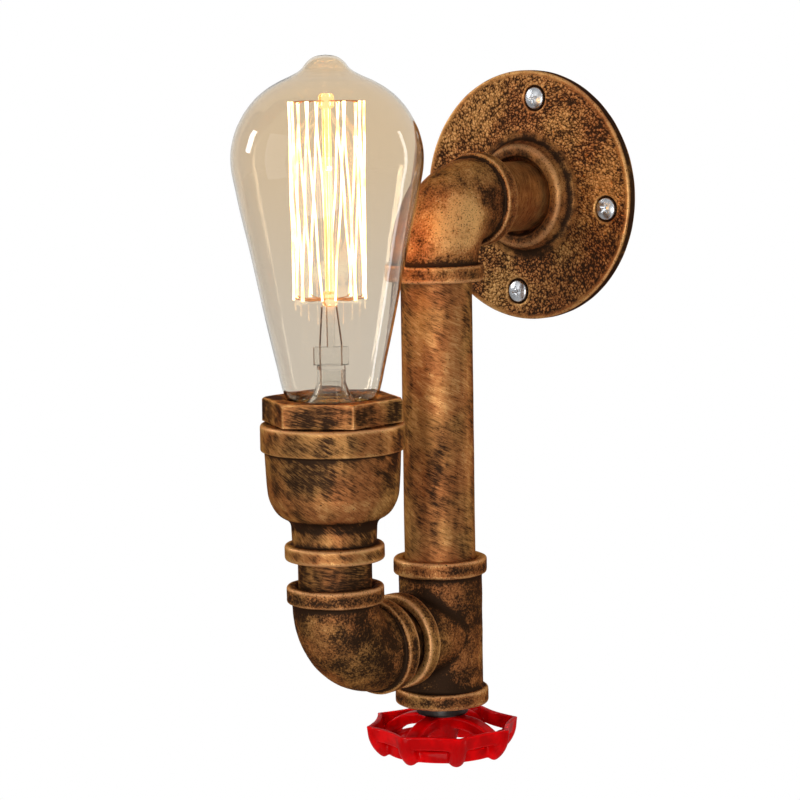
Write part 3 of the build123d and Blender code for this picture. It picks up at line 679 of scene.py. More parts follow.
def node_tree(name, *sockets):
    """Geometry tree with named inputs; returns it with its input node."""
    tree = bpy.data.node_groups.new(name, "GeometryNodeTree")
    tree.interface.new_socket(name="Geometry", in_out="OUTPUT", socket_type="NodeSocketGeometry")
    for label, kind in sockets:
        tree.interface.new_socket(name=label, in_out="INPUT", socket_type=f"NodeSocket{kind}")
    return tree, tree.nodes.new("NodeGroupInput").outputs


def end_tree(tree, geometry, material):
    """Close a geometry tree with real meshes that have their material."""
    real = add(tree, "GeometryNodeRealizeInstances", {0: geometry})
    coated = add(tree, "GeometryNodeSetMaterial", {"Geometry": real.outputs[0], "Material": material})
    tree.links.new(coated.outputs[0], tree.nodes.new("NodeGroupOutput").inputs[0])


def grow(name, tree, values):
    """Plain mesh object made by a geometry tree."""
    piece = new_object(name, bpy.data.meshes.new(name))
    grower = piece.modifiers.new("Grow", "NODES")
    grower.node_group = tree
    sockets = {item.name: item.identifier for item in tree.interface.items_tree if item.in_out == "INPUT"}
    for label, value in values.items():
        grower[sockets[label]] = value
    mesh = plain_mesh(piece)
    need(len(mesh.vertices) > 0, f"{name}: the geometry tree made nothing")
    mesh.shade_smooth()
    return piece


def around(tree, angle, radius, height=0.0):
    """Place at an angle, a radius and a height."""
    return triple(tree, calc(tree, "MULTIPLY", calc(tree, "COSINE", angle), radius),
                  calc(tree, "MULTIPLY", calc(tree, "SINE", angle), radius), height)


def wire(tree, line, thickness):
    """Round wire of a thickness along a line."""
    ring = add(tree, "GeometryNodeCurvePrimitiveCircle", {
        "Resolution": 8, "Radius": calc(tree, "MULTIPLY", thickness, 0.5)}).outputs[0]
    return add(tree, "GeometryNodeCurveToMesh", {
        "Curve": line, "Profile Curve": ring, "Fill Caps": True}).outputs[0]


# ---------------------------------------------------------------- castings and pipes

def wall_flange_mesh():
    """Round plate with a raised hub; its face has a finer mesh than the rest."""
    hub_foot, hub_rim = 20.5 * MM, 18.4 * MM
    bore = SOCKET_RADIUS
    corners = [
        (bore, 0, 0), (FLANGE_RADIUS, 0, 0.4 * MM), (FLANGE_RADIUS, PLATE, 0.9 * MM),
        (hub_foot, PLATE, 2.2 * MM), (hub_rim, HUB_HEIGHT, 1.6 * MM),
        (bore + 2.2 * MM, HUB_HEIGHT, 0.7 * MM), (bore, HUB_HEIGHT - 2.4 * MM, 0.5 * MM)]

    def step(radius, height):
        """Fine on the pebbled face only; a stretch's middle tells where it is."""
        return 0.36 * MM if height > PLATE - 0.1 * MM and radius > hub_foot else 1.6 * MM

    return lathe(rounded(corners, 5, step), 720)


def pebble_height(place, spacing):
    """Leathery grain: 0 in the creases to 1 on the pebbles, which lie a little on the slant."""
    warp = noise.noise_vector(place * (0.8 / spacing)) * 0.45
    along, across = place.x * 0.94 - place.z * 0.34, place.x * 0.34 + place.z * 0.94
    near, next_near = noise.voronoi(Vector((along * 0.75, across, 0.0)) / spacing + warp)[0][:2]
    return min(1.0, (next_near - near) * 3.0)


class PIPELIGHT_OT_wall_flange(bpy.types.Operator):
    """Cast wall flange with a pebbled face and four countersinks"""
    bl_idname = "pipe_light.wall_flange"
    bl_label = "Wall Flange"

    def execute(self, context):
        """Turn the plate, sink the screw seats and raise the pebbles."""
        sizes = context.scene.pipe_light_sizes
        piece = mesh_piece("flange_casting", *wall_flange_mesh())
        piece.data.transform(OUT_OF_WALL)
        mesh = piece.data
        places, normals = points_of(mesh), points_of(mesh, "normal")
        radius = np.hypot(places[:, 0], places[:, 2])
        face = (-places[:, 1] > 4.0 * MM) & (radius > FACE_START) & (normals[:, 1] < -0.9)
        border = np.clip((FLANGE_RADIUS - 1.6 * MM - radius) / (0.5 * MM), 0, 1)
        border *= np.clip((radius - FACE_START) / (1.0 * MM), 0, 1)
        sunk = np.zeros(len(places))
        for k in range(SCREWS):
            angle = math.radians(FIRST_SCREW_DEGREES + 360 / SCREWS * k)
            seat = np.array((math.cos(angle), math.sin(angle))) * SCREW_CIRCLE
            away = np.hypot(places[:, 0] - seat[0], places[:, 2] - seat[1])
            sunk = np.maximum(sunk, np.clip((4.9 * MM - away) / (0.45 * MM), 0, 1))
            border *= np.clip((away - 5.0 * MM) / (0.4 * MM), 0, 1)
        smooth_grain = 0.55
        grain = np.full(len(places), smooth_grain)
        for k in np.flatnonzero(face & (border > 0)):
            pebble = pebble_height(Vector(places[k]), sizes.pebble_spacing)
            grain[k] = smooth_grain + (pebble - smooth_grain) * border[k]
        lift = np.where(face, (grain - smooth_grain) * sizes.pebble - sunk * MM, 0)
        places[:, 1] -= lift
        mesh.vertices.foreach_set("co", places.ravel())
        mesh.update()
        keep_value(mesh, "grain", grain)
        roughen(mesh, [(170.0, 0.05 * MM)], 3.0)
        mark_wear(mesh, 10, 0.60 * MM)
        dress(piece, "arm", "cast_bronze", pebbled_bronze(context.scene.pipe_light_finish), "wall_flange")
        return {"FINISHED"}


def elbow_mesh(centre, reach, up):
    """Banded elbow from its wall-side port to its upper or lower port, as one skin round a bent line."""
    band, body, bore, water = BAND_RADIUS, 14.7 * MM, SOCKET_RADIUS, WATER_WAY
    width, depth = 5.8 * MM, 12.4 * MM
    bend = reach - width
    length = 2 * width + bend * math.pi / 2
    half = [(bore, 1.2 * MM, 0.3 * MM), (bore + 1.3 * MM, 0, 0.5 * MM), (band, 0, 1.5 * MM),
            (band, width, 1.3 * MM), (body, width + 0.15 * MM, 1.0 * MM)]
    inner = [(water, depth + 0.4 * MM, 0.3 * MM), (bore, depth, 0.2 * MM)]
    far = [(r, length - s, k) for r, s, k in reversed(inner + half)]
    outline = rounded(inner + half + far, 7, 0.5 * MM)
    segments = 168
    angles = np.linspace(0, 2 * math.pi, segments, endpoint=False)
    side = 1.0 if up else -1.0
    rings = np.empty((len(outline), segments, 3))
    for k, (radius, station) in enumerate(outline):
        turn = min(max((station - width) / bend, 0.0), math.pi / 2)
        straight_in = min(station, width)
        straight_out = max(station - width - bend * math.pi / 2, 0.0)
        middle_y = reach - straight_in - bend * math.sin(turn)
        middle_z = bend * (1 - math.cos(turn)) + straight_out
        across = np.array((0.0, math.sin(turn), math.cos(turn)))
        ring = np.outer(np.cos(angles), (1.0, 0.0, 0.0)) + np.outer(np.sin(angles), across)
        rings[k] = ring * radius + (0.0, middle_y, middle_z)
    rings[..., 2] *= side
    return ring_mesh(rings + np.array(centre))


class PIPELIGHT_OT_elbows(bpy.types.Operator):
    """The two banded cast elbows"""
    bl_idname = "pipe_light.elbows"
    bl_label = "Elbows"

    def execute(self, context):
        """Sweep both elbows and give them their sandy skin."""
        sizes = context.scene.pipe_light_sizes
        for node, centre, reach, up, seed, tone in (
                ("upper_elbow", (0, PIPE_Y, 0), 27.2 * MM, False, 5.0, -0.03),
                ("lower_elbow", (0, LAMP_Y, BRANCH_Z), 25.2 * MM, True, 9.0, -0.12)):
            piece = mesh_piece(node + "_casting", *elbow_mesh(centre, reach, up))
            roughen(piece.data, [(150.0, 0.12 * MM), (1100.0, sizes.sand)], seed)
            mark_wear(piece.data)
            # The upper elbow gets a painted highlight on its lower front and painted shade over the rest of
            # it.
            painted_highlight_spot = None if up else (13.8 * MM, PIPE_Y - 2.8 * MM, -7.0 * MM)
            material = cast_bronze(context.scene.pipe_light_finish, "Antique bronze " + node, tone, painted_highlight_spot)
            dress(piece, "arm", "cast_bronze", material, node)
        return {"FINISHED"}


class PIPELIGHT_OT_tee(bpy.types.Operator):
    """The banded cast tee"""
    bl_idname = "pipe_light.tee"
    bl_label = "Tee"

    def execute(self, context):
        """Give the tee an even skin, soft edges and sand."""
        sizes = context.scene.pipe_light_sizes
        piece = remeshed("tee_casting", "tee", sizes.cast_cell, 5)
        roughen(piece.data, [(150.0, 0.12 * MM), (1100.0, sizes.sand)], 14.0)
        mark_wear(piece.data)
        material = cast_bronze(context.scene.pipe_light_finish, "Antique bronze tee", -0.07)
        dress(piece, "arm", "cast_bronze", material, "tee")
        return {"FINISHED"}


class PIPELIGHT_OT_pipes(bpy.types.Operator):
    """The four brushed pipes between the castings"""
    bl_idname = "pipe_light.pipes"
    bl_label = "Pipes"

    def execute(self, context):
        """Turn each pipe and brush it round its own axis."""
        finish = context.scene.pipe_light_finish
        for node, lying, slant, tone in (
                ("main_pipe", False, 0.45, 0.0), ("cup_nipple", False, 0.15, -0.065),
                ("wall_nipple", True, 0.25, 0.045), ("branch_nipple", True, 0.1, -0.06)):
            low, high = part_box(node)
            centre = (low + high) / 2
            length = (high.y - low.y) if lying else (high.z - low.z)
            corners = [(WATER_WAY, -length / 2, 0.3 * MM), (PIPE_RADIUS, -length / 2, 0.5 * MM),
                       (PIPE_RADIUS, length / 2, 0.5 * MM), (WATER_WAY, length / 2, 0.3 * MM)]
            piece = mesh_piece(node + "_brushed", *lathe(rounded(corners, 4, 1.0 * MM), 144))
            turn = (math.pi / 2, 0, 0) if lying else (0, 0, 0)
            placing = Matrix.Translation(centre) @ (OUT_OF_WALL if lying else Matrix.Identity(4))
            piece.data.transform(placing)
            roughen(piece.data, [(60.0, 0.06 * MM)], 21.0)
            keep_value(piece.data, "wear", np.full(len(piece.data.vertices), 0.52))
            material = brushed_bronze(
                finish, "Brushed bronze " + node, tone, centre, turn, PIPE_RADIUS, slant)
            dress(piece, "arm", "pipe_bronze", material, node)
        return {"FINISHED"}


class PIPELIGHT_OT_lamp_cup(bpy.types.Operator):
    """Bell-shaped lamp cup"""
    bl_idname = "pipe_light.lamp_cup"
    bl_label = "Lamp Cup"

    def execute(self, context):
        """Turn the bell with its two bands and brush it."""
        corners = [
            (20.7, -70.5, 0.4), (24.3, -70.5, 1.2), (24.3, -79.5, 1.5), (23.0, -79.7, 0.7),
            (22.4, -91.6, 3.0), (21.9, -96.0, 3.0), (19.2, -101.2, 4.5), (14.6, -103.5, 2.2),
            (14.3, -111.2, 0.7), (16.9, -111.4, 1.4), (16.9, -116.8, 1.3), (13.8, -116.8, 0.5),
            (12.55, -115.6, 0.3), (12.55, -103.8, 0.2), (5.0, -103.8, 0.2), (5.0, -100.0, 0.2),
            (12.5, -100.0, 2.0), (19.6, -93.5, 3.5), (19.6, -79.0, 0.2), (20.7, -79.0, 0.2)]
        outline = rounded([(r * MM, z * MM, k * MM) for r, z, k in corners], 7, 0.5 * MM)
        piece = mesh_piece("lamp_cup_casting", *lathe(outline, 224, (0, LAMP_Y, 0)))
        roughen(piece.data, [(110.0, 0.10 * MM), (700.0, 0.02 * MM)], 31.0)
        mark_wear(piece.data)
        material = brushed_bronze(context.scene.pipe_light_finish, "Brushed bronze cup", -0.045,
                                  (0, LAMP_Y, 0), (0, 0, 0), 22 * MM, 0.55)
        dress(piece, "arm", "cast_bronze", material, "lamp_cup")
        return {"FINISHED"}


class PIPELIGHT_OT_hex_bushing(bpy.types.Operator):
    """Hexagon bushing in the cup's mouth"""
    bl_idname = "pipe_light.hex_bushing"
    bl_label = "Hexagon Bushing"

    def execute(self, context):
        """Soften the hexagon's edges and brush it."""
        piece = remeshed("hex_bushing_casting", "hex_bushing", 0.32 * MM, 4)
        roughen(piece.data, [(140.0, 0.08 * MM), (900.0, 0.02 * MM)], 41.0)
        mark_wear(piece.data)
        material = brushed_bronze(context.scene.pipe_light_finish, "Brushed bronze hexagon", -0.045,
                                  (0, LAMP_Y, 0), (0, 0, 0), 24 * MM, 0.2)
        dress(piece, "arm", "cast_bronze", material, "hex_bushing")
        return {"FINISHED"}


# ---------------------------------------------------------------- screws

def round_row(radius, height, angles):
    """Ring of points at a height; the radius is one value or one for each angle."""
    return np.stack([radius * np.cos(angles), radius * np.sin(angles),
                     np.full(len(angles), height)], axis=1)


def screw_mesh():
    """Cross-recess screw along +Z, its seat at height 0."""
    corners = [(0, 2.2, 0), (2.0, 1.95, 0.8), (3.6, 1.35, 0.5), (3.9, 1.0, 0.3), (3.9, 0.0, 0.2),
               (2.0, -0.1, 0.2)]
    pitch, turns, tip = 1.0, 7, -12.2
    outline = [(r * MM, z * MM, k * MM) for r, z, k in corners]
    head = rounded(outline + [(1.75 * MM, -3.6 * MM, 0)], 5)[:-1]
    head = np.vstack([[(0.0, 2.2 * MM)], head[1:]])
    segments = 48
    angles = np.linspace(0, 2 * math.pi, segments, endpoint=False)
    rows = [round_row(radius, height, angles) for radius, height in head]
    for step in range(turns * 10 + 1):
        height = -4.2 - step * pitch / 10
        blunt = min(1.0, 0.72 + (height - tip) * 0.28)
        phase = height / pitch * 2 * math.pi - angles
        radius = (1.72 + 0.26 * np.cos(phase)) * blunt * MM
        rows.append(round_row(radius, height * MM, angles))
    rows.append(rows[-1] * (0.8, 0.8, 0.0) + (0.0, 0.0, tip * MM))
    rows.append(np.tile([0.0, 0.0, tip * MM], (segments, 1)))
    return ring_mesh(np.array(rows), closed=False)


def cross_cutter():
    """Tapered cross that cuts the recess in a screw's head."""
    cutter = bmesh.new()
    for turn in (0.0, math.pi / 2):
        made = bmesh.ops.create_cube(cutter, size=1.0)["verts"]
        for vert in made:
            low = vert.co.z < 0
            vert.co.x *= (1.5 if low else 4.7) * MM
            vert.co.y *= (0.65 if low else 0.95) * MM
            vert.co.z = (0.3 if low else 2.6) * MM
        bmesh.ops.rotate(cutter, verts=made, cent=(0, 0, 0), matrix=Matrix.Rotation(turn, 3, "Z"))
    mesh = bpy.data.meshes.new("cross_cutter")
    cutter.to_mesh(mesh)
    cutter.free()
    return mesh


class PIPELIGHT_OT_wall_screws(bpy.types.Operator):
    """Four zinc-plated cross-recess screws"""
    bl_idname = "pipe_light.wall_screws"
    bl_label = "Wall Screws"

    def execute(self, context):
        """Cut one screw, then set four of them round the flange with Geometry Nodes."""
        screw = mesh_piece("screw_pattern", *screw_mesh())
        cutter = new_object("cross_cutter", cross_cutter())
        cut = screw.modifiers.new("Cross", "BOOLEAN")
        cut.operation = "DIFFERENCE"
        cut.solver = "EXACT"
        cut.use_self = True
        cut.object = cutter
        plain_mesh(screw)

        tree, given = node_tree("Screw circle", ("Screw", "Object"), ("Count", "Int"), ("Radius", "Float"),
                                ("First Angle", "Float"), ("Cross Turn", "Float"), ("Material", "Material"))
        points = add(tree, "GeometryNodePoints", {"Count": given["Count"]}).outputs[0]
        index = add(tree, "GeometryNodeInputIndex").outputs[0]
        step = calc(tree, "DIVIDE", 2 * math.pi, given["Count"])
        angle = calc(tree, "ADD", calc(tree, "MULTIPLY", index, step), given["First Angle"])
        place = around(tree, angle, given["Radius"])
        placed = add(tree, "GeometryNodeSetPosition", {"Geometry": points, "Position": place}).outputs[0]
        chance = add(tree, "FunctionNodeRandomValue", {"Seed": 4}, data_type="FLOAT").outputs[1]
        turn = triple(tree, z=calc(tree, "MULTIPLY", chance, given["Cross Turn"]))
        source = add(tree, "GeometryNodeObjectInfo", {"Object": given["Screw"]}).outputs["Geometry"]
        screws = add(tree, "GeometryNodeInstanceOnPoints", {
            "Points": placed, "Instance": source, "Rotation": turn}).outputs[0]
        end_tree(tree, screws, given["Material"])
        material = plated("Zinc plate", context.scene.pipe_light_finish.zinc, 0.2, 1100.0, 0.3, 0.5)
        piece = grow("zinc_screws", tree, {
            "Screw": screw, "Count": SCREWS, "Radius": SCREW_CIRCLE,
            "First Angle": math.radians(FIRST_SCREW_DEGREES),
            "Cross Turn": context.scene.pipe_light_sizes.cross_turn, "Material": material})
        piece.data.transform(OUT_OF_WALL @ Matrix.Translation((0, 0, 3.2 * MM)))
        bpy.data.objects.remove(screw)
        bpy.data.objects.remove(cutter)
        dress(piece, "arm", "zinc", material, "wall_screws")
        return {"FINISHED"}


# ---------------------------------------------------------------- bulb

def glass_outline():
    """Outside of the bulb (radius, height), from the crown to the neck."""
    points = [(0.0, 51.7), (3.6, 51.1), (6.1, 49.4), (8.2, 46.9), (11.4, 45.0), (15.7, 43.0),
              (20.7, 39.9), (25.1, 35.7), (28.6, 30.5), (30.9, 25.0), (32.0, 17.6), (30.4, 6.5),
              (26.0, -14.2), (21.0, -38.6), (17.9, -52.5), (16.8, -57.6), (15.9, -60.6), (14.7, -62.4),
              (13.3, -63.5), (12.75, -64.6)]
    return np.array(points) * MM


def smooth_line(points, count):
    """Even points on a smooth line through the given ones."""
    line = bpy.data.curves.new("smooth_line", "CURVE")
    line.dimensions = "3D"
    spline = line.splines.new("BEZIER")
    spline.bezier_points.add(len(points) - 1)
    for knot, (x, z) in zip(spline.bezier_points, points):
        knot.co = (x, 0.0, z)
        knot.handle_left_type = knot.handle_right_type = "AUTO"
    spline.resolution_u = 24
    holder = bpy.data.objects.new("smooth_line", line)
    mesh = bpy.data.meshes.new_from_object(holder)
    found = points_of(mesh)[:, (0, 2)]
    bpy.data.objects.remove(holder)
    bpy.data.curves.remove(line)
    bpy.data.meshes.remove(mesh)
    length = np.concatenate([[0.0], np.cumsum(np.linalg.norm(np.diff(found, axis=0), axis=1))])
    places = np.linspace(0, length[-1], count)
    return np.stack([np.interp(places, length, found[:, k]) for k in (0, 1)], axis=1)


class PIPELIGHT_OT_bulb_glass(bpy.types.Operator):
    """Blown teardrop envelope with its sealed tip"""
    bl_idname = "pipe_light.bulb_glass"
    bl_label = "Bulb Glass"

    def execute(self, context):
        """Turn the outside and the inside of the glass as one thin shell."""
        outside = smooth_line(glass_outline(), 210)
        outside[0, 0] = 0.0
        run = np.gradient(outside, axis=0)
        run /= np.linalg.norm(run, axis=1)[:, None]
        inside = outside + np.stack([run[:, 1], -run[:, 0]], axis=1) * GLASS_WALL
        inside[0, 0] = 0.0
        inside = inside[inside[:, 0] >= 0.0]
        neck = outside[-1, 0]
        foot = np.array([(neck, GLASS_LOW + 0.4 * MM), (neck - GLASS_WALL / 2, GLASS_LOW),
                         (neck - GLASS_WALL, GLASS_LOW + 0.4 * MM)])
        outline = np.vstack([outside, foot, inside[::-1]])
        piece = mesh_piece("amber_envelope", *lathe(outline, 192, (0, LAMP_Y, 0), closed=False))
        piece.visible_shadow = False
        material = bulb_glass_material(context.scene.pipe_light_finish)
        dress(piece, "bulb", "amber_glass", material, "bulb_glass")
        return {"FINISHED"}


def helix_skin(mean, depth, top, low, wall, rim, tail):
    """Rings of a thin sleeve with a right-hand round thread between a plain rim and a tail."""
    angles = np.linspace(0, 2 * math.pi, 96, endpoint=False)
    heights = np.linspace(top, low, 90)
    swell = np.clip(np.minimum(top - heights, heights - low) / (0.8 * MM), 0, 1)
    phase = (heights[:, None] / CAP_PITCH * 2 * math.pi) - angles
    radius = mean + depth * swell[:, None] * np.cos(phase)
    rings = [round_row(r, z, angles) for r, z in [*rim, *zip(radius, heights), *tail]]
    inner = [ring * (1 - wall / np.maximum(np.hypot(ring[:, :1], ring[:, 1:2]), 1e-6)) *
             (1, 1, 0) + ring * (0, 0, 1) for ring in rings[::-1]]
    return np.array(rings + inner)


class PIPELIGHT_OT_bulb_cap(bpy.types.Operator):
    """Screw cap of the bulb and the threaded shell that takes it"""
    bl_idname = "pipe_light.bulb_cap"
    bl_label = "Screw Cap and Shell"

    def execute(self, context):
        """Roll both threads as right-hand helices of one pitch, so that they stay in step."""
        finish = context.scene.pipe_light_finish
        brass = plated("Rolled brass", finish.brass, 0.22, 700.0, 0.28, 0.7)
        thread_top = -70.5 * MM
        rings = helix_skin(12.85 * MM, 0.35 * MM, thread_top, -84.8 * MM, 0.3 * MM,
                           [(13.15 * MM, CAP_TOP), (13.15 * MM, thread_top + 0.3 * MM)],
                           [(12.2 * MM, -85.4 * MM), (11.6 * MM, CAP_LOW)])
        piece = mesh_piece("rolled_cap", *ring_mesh(rings + np.array((0, LAMP_Y, 0))))
        dress(piece, "bulb", "brass", brass, "bulb_cap")
        low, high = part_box("screw_shell")
        mean = half_width("screw_shell") - 0.7 * MM
        rings = helix_skin(mean + 0.35 * MM, 0.35 * MM, high.z - 0.4 * MM, low.z + 0.9 * MM, 0.35 * MM,
                           [(mean + 0.35 * MM, high.z)],
                           [(mean + 0.35 * MM, low.z + 0.3 * MM), (mean, low.z), (9.0 * MM, low.z)])
        piece = mesh_piece("rolled_shell", *ring_mesh(rings + np.array((0, LAMP_Y, 0))))
        dress(piece, "arm", "brass", brass, "screw_shell")
        return {"FINISHED"}


class PIPELIGHT_OT_filament(bpy.types.Operator):
    """Squirrel-cage filament: one line up and down over all the hooks"""
    bl_idname = "pipe_light.filament"
    bl_label = "Filament"

    def execute(self, context):
        """Lead a curve through the hooks by its index, let it stray a little and give it thickness."""
        sizes = context.scene.pipe_light_sizes
        tree, given = node_tree(
            "Squirrel cage", ("Hooks", "Int"), ("Top Radius", "Float"), ("Low Radius", "Float"),
            ("Top", "Float"), ("Bottom", "Float"), ("First Angle", "Float"), ("Step", "Float"),
            ("Spread", "Float"), ("Thickness", "Float"), ("Wander", "Float"), ("Material", "Material"))
        count = calc(tree, "MULTIPLY", given["Hooks"], 4.0)
        points = add(tree, "GeometryNodePoints", {"Count": count}).outputs[0]
        index = add(tree, "GeometryNodeInputIndex").outputs[0]
        place = calc(tree, "FLOOR", calc(tree, "DIVIDE", calc(tree, "ADD", index, 1.0), 2.0))
        at_top = calc(tree, "MODULO", place, 2.0)
        side = calc(tree, "SUBTRACT", calc(tree, "MULTIPLY", calc(tree, "MODULO",
                     calc(tree, "ADD", index, 1.0), 2.0), 2.0), 1.0)
        radius = blend_values(tree, at_top, given["Low Radius"], given["Top Radius"])
        height = blend_values(tree, at_top, given["Bottom"], given["Top"])
        angle = calc(tree, "ADD", given["First Angle"], calc(
            tree, "MULTIPLY", calc(tree, "MULTIPLY", place, 0.5), given["Step"]))
        angle = calc(tree, "SUBTRACT", angle, calc(tree, "MULTIPLY", side, given["Spread"]))
        where = around(tree, angle, radius, height)
        placed = add(tree, "GeometryNodeSetPosition", {"Geometry": points, "Position": where}).outputs[0]
        line = add(tree, "GeometryNodePointsToCurves", {"Points": placed}).outputs[0]
        line = add(tree, "GeometryNodeSubdivideCurve", {"Curve": line, "Cuts": 9}).outputs[0]
        here = add(tree, "GeometryNodeInputPosition").outputs[0]
        stray = add(tree, "ShaderNodeTexNoise", {"Vector": here, "Scale": 55.0, "Detail": 1.0})
        centred = vector_calc(tree, "SUBTRACT", stray.outputs["Color"], (0.5, 0.5, 0.5))
        level = parts_of(tree, here)[2]
        inner = calc(tree, "MINIMUM", calc(tree, "SUBTRACT", given["Top"], level),
                      calc(tree, "SUBTRACT", level, given["Bottom"]))
        ease = add(tree, "ShaderNodeMapRange", {"Value": inner, "From Max": 12 * MM}).outputs[0]
        reach = calc(tree, "MULTIPLY", calc(tree, "MULTIPLY", ease, given["Wander"]), 4.0)
        offset = add(tree, "ShaderNodeVectorMath", {0: centred, "Scale": reach}, operation="SCALE").outputs[0]
        line = add(tree, "GeometryNodeSetPosition", {"Geometry": line, "Offset": offset}).outputs[0]
        end_tree(tree, wire(tree, line, given["Thickness"]), given["Material"])
        material = glowing(context.scene.pipe_light_finish)
        piece = grow("cage_filament", tree, {
            "Hooks": HOOKS, "Top Radius": CAGE_RADIUS + 0.35 * MM, "Low Radius": CAGE_LOW_RADIUS + 0.35 * MM,
            "Top": CAGE_TOP - 0.3 * MM, "Bottom": CAGE_LOW + 0.3 * MM, "First Angle": FIRST_PLACE,
            "Step": HOOK_STEP, "Spread": 0.035, "Thickness": sizes.strand,
            "Wander": sizes.strand_wander, "Material": material})
        piece.data.transform(Matrix.Translation((0, LAMP_Y, 0)) @ Matrix.Rotation(BULB_TURN, 4, "Z"))
        dress(piece, "bulb", "glowing_filament", material, "filament")
        return {"FINISHED"}


class PIPELIGHT_OT_hooks(bpy.types.Operator):
    """Fine wires that carry the filament, above and below"""
    bl_idname = "pipe_light.hooks"
    bl_label = "Filament Hooks"

    def execute(self, context):
        """Bend one hook for each level and set them round the glass buttons."""
        material = plated("Support wire", (0.60, 0.31, 0.13), 0.35, 1500.0, 0.3, 0.4)
        tree, given = node_tree(
            "Hook crown", ("Count", "Int"), ("First Angle", "Float"), ("Step", "Float"),
            ("Start", "Float"), ("Reach", "Float"), ("Bend", "Float"), ("Thickness", "Float"),
            ("Material", "Material"))
        points = add(tree, "GeometryNodePoints", {"Count": given["Count"]}).outputs[0]
        index = add(tree, "GeometryNodeInputIndex").outputs[0]
        angle = calc(tree, "ADD", given["First Angle"], calc(tree, "MULTIPLY", index, given["Step"]))
        near, far = triple(tree, given["Start"]), triple(tree, given["Reach"], 0.0, given["Bend"])
        arch = triple(tree, calc(tree, "MULTIPLY", given["Reach"], 0.93), 0.0,
                      calc(tree, "MULTIPLY", given["Bend"], -0.55))
        line = add(tree, "GeometryNodeCurveQuadraticBezier", {
            "Resolution": 10, "Start": near, "Middle": arch, "End": far}).outputs[0]
        hooks = add(tree, "GeometryNodeInstanceOnPoints", {
            "Points": points, "Instance": wire(tree, line, given["Thickness"]),
            "Rotation": triple(tree, z=angle)}).outputs[0]
        end_tree(tree, hooks, given["Material"])
        for node, count, first, level, reach, bend in (
                ("top_hooks", HOOKS, FIRST_PLACE + HOOK_STEP / 2,
                 CAGE_TOP, CAGE_RADIUS + 0.1 * MM, -0.9 * MM),
                ("bottom_hooks", HOOKS - 1, FIRST_PLACE + HOOK_STEP,
                 CAGE_LOW, CAGE_LOW_RADIUS, 0.9 * MM)):
            piece = grow(node + "_wire", tree, {
                "Count": count, "First Angle": first, "Step": HOOK_STEP, "Start": 1.8 * MM,
                "Reach": reach, "Bend": bend, "Thickness": 0.42 * MM, "Material": material})
            piece.data.transform(Matrix.Translation((0, LAMP_Y, level)) @ Matrix.Rotation(BULB_TURN, 4, "Z"))
            dress(piece, "bulb", "nickel_wire", material, node)
        return {"FINISHED"}


# ---------------------------------------------------------------- valve wheel

class PIPELIGHT_OT_valve_wheel(bpy.types.Operator):
    """Red valve wheel and the dark nut above it"""
    bl_idname = "pipe_light.valve_wheel"
    bl_label = "Valve Wheel"

    def execute(self, context):
        """Soften the cast wheel, flow the enamel over it and turn the ring nut."""
        sizes = context.scene.pipe_light_sizes
        piece = remeshed("enamelled_wheel", "handwheel", sizes.wheel_cell, 12)
        roughen(piece.data, [(120.0, 0.10 * MM)], 51.0)
        mark_wear(piece.data, 16, 0.3 * MM)
        dress(piece, "wheel", "red_paint", enamel(context.scene.pipe_light_finish), "handwheel")
        low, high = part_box("ring_nut")
        outer, hole = half_width("ring_nut"), 4.9 * MM
        corners = [(hole, low.z, 0.2 * MM), (outer, low.z, 0.9 * MM), (outer, high.z, 0.5 * MM),
                   (hole, high.z, 0.2 * MM)]
        ring = mesh_piece("dark_ring_nut", *lathe(rounded(corners, 6), 96, (0, PIPE_Y, 0)))
        material = plated("Blackened steel ring", (0.055, 0.050, 0.046), 0.3, 900.0, 0.3, 0.5)
        dress(ring, "arm", "dark_steel", material, "ring_nut")
        return {"FINISHED"}


# ---------------------------------------------------------------- parts that stay as they are

class PIPELIGHT_OT_inner_parts(bpy.types.Operator):
    """Finishes of the holder, the dimmer, the bulb's works and the wires"""
    bl_idname = "pipe_light.inner_parts"
    bl_label = "Inner Parts"

    def execute(self, context):
        """Coat each CAD node that is shown as it is."""
        finish = context.scene.pipe_light_finish
        zinc = plated("Zinc plate inside", finish.zinc, 0.26, 900.0, 0.34, 0.6)
        brass = plated("Turned brass", finish.brass, 0.24, 800.0, 0.3, 0.65)
        black = moulded("Black moulding", (0.035, 0.035, 0.038), 0.42)
        finishes = [
            (zinc, ("holder_plate", "holder_screws", "holder_locknut", "earth_ring", "wheel_washer",
                    "wheel_nut")),
            (brass, ("centre_contact", "terminals", "terminal_screws", "switch_contacts", "holder_tube")),
            (black, ("switch_case", "switch_cover", "switch_rotor")),
            (plated("Blackened steel", (0.07, 0.065, 0.06), 0.32), ("tee_plug", "wheel_stem")),
            (plated("Copper and nickel leads", (0.62, 0.40, 0.26), 0.3, 1200.0), ("lead_wires",)),
            (plated("Solder", (0.55, 0.55, 0.53), 0.4, 600.0), ("tip_contact",)),
            (moulded("Glazed porcelain", (0.84, 0.82, 0.76), 0.12, 600.0), ("lamp_holder",)),
            (moulded("Black insulator", (0.02, 0.02, 0.024), 0.1, 700.0), ("cap_insulator",)),
            (moulded("Blue insulation", (0.03, 0.13, 0.48), 0.35), ("neutral_wire",)),
            (moulded("Brown insulation", (0.19, 0.075, 0.03), 0.35), ("live_wire",)),
            (moulded("Grey insulation", (0.26, 0.26, 0.27), 0.35), ("switched_wire",)),
            (striped_insulation("Earth insulation", (0.08, 0.36, 0.05), (0.82, 0.70, 0.03)),
             ("earth_wire",)),
            (clear_glass_material(), ("glass_stem",)),
        ]
        for material, nodes in finishes:
            for node in nodes:
                coat(node, material)
        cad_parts["glass_stem"].visible_shadow = False
        return {"FINISHED"}


# ---------------------------------------------------------------- stage

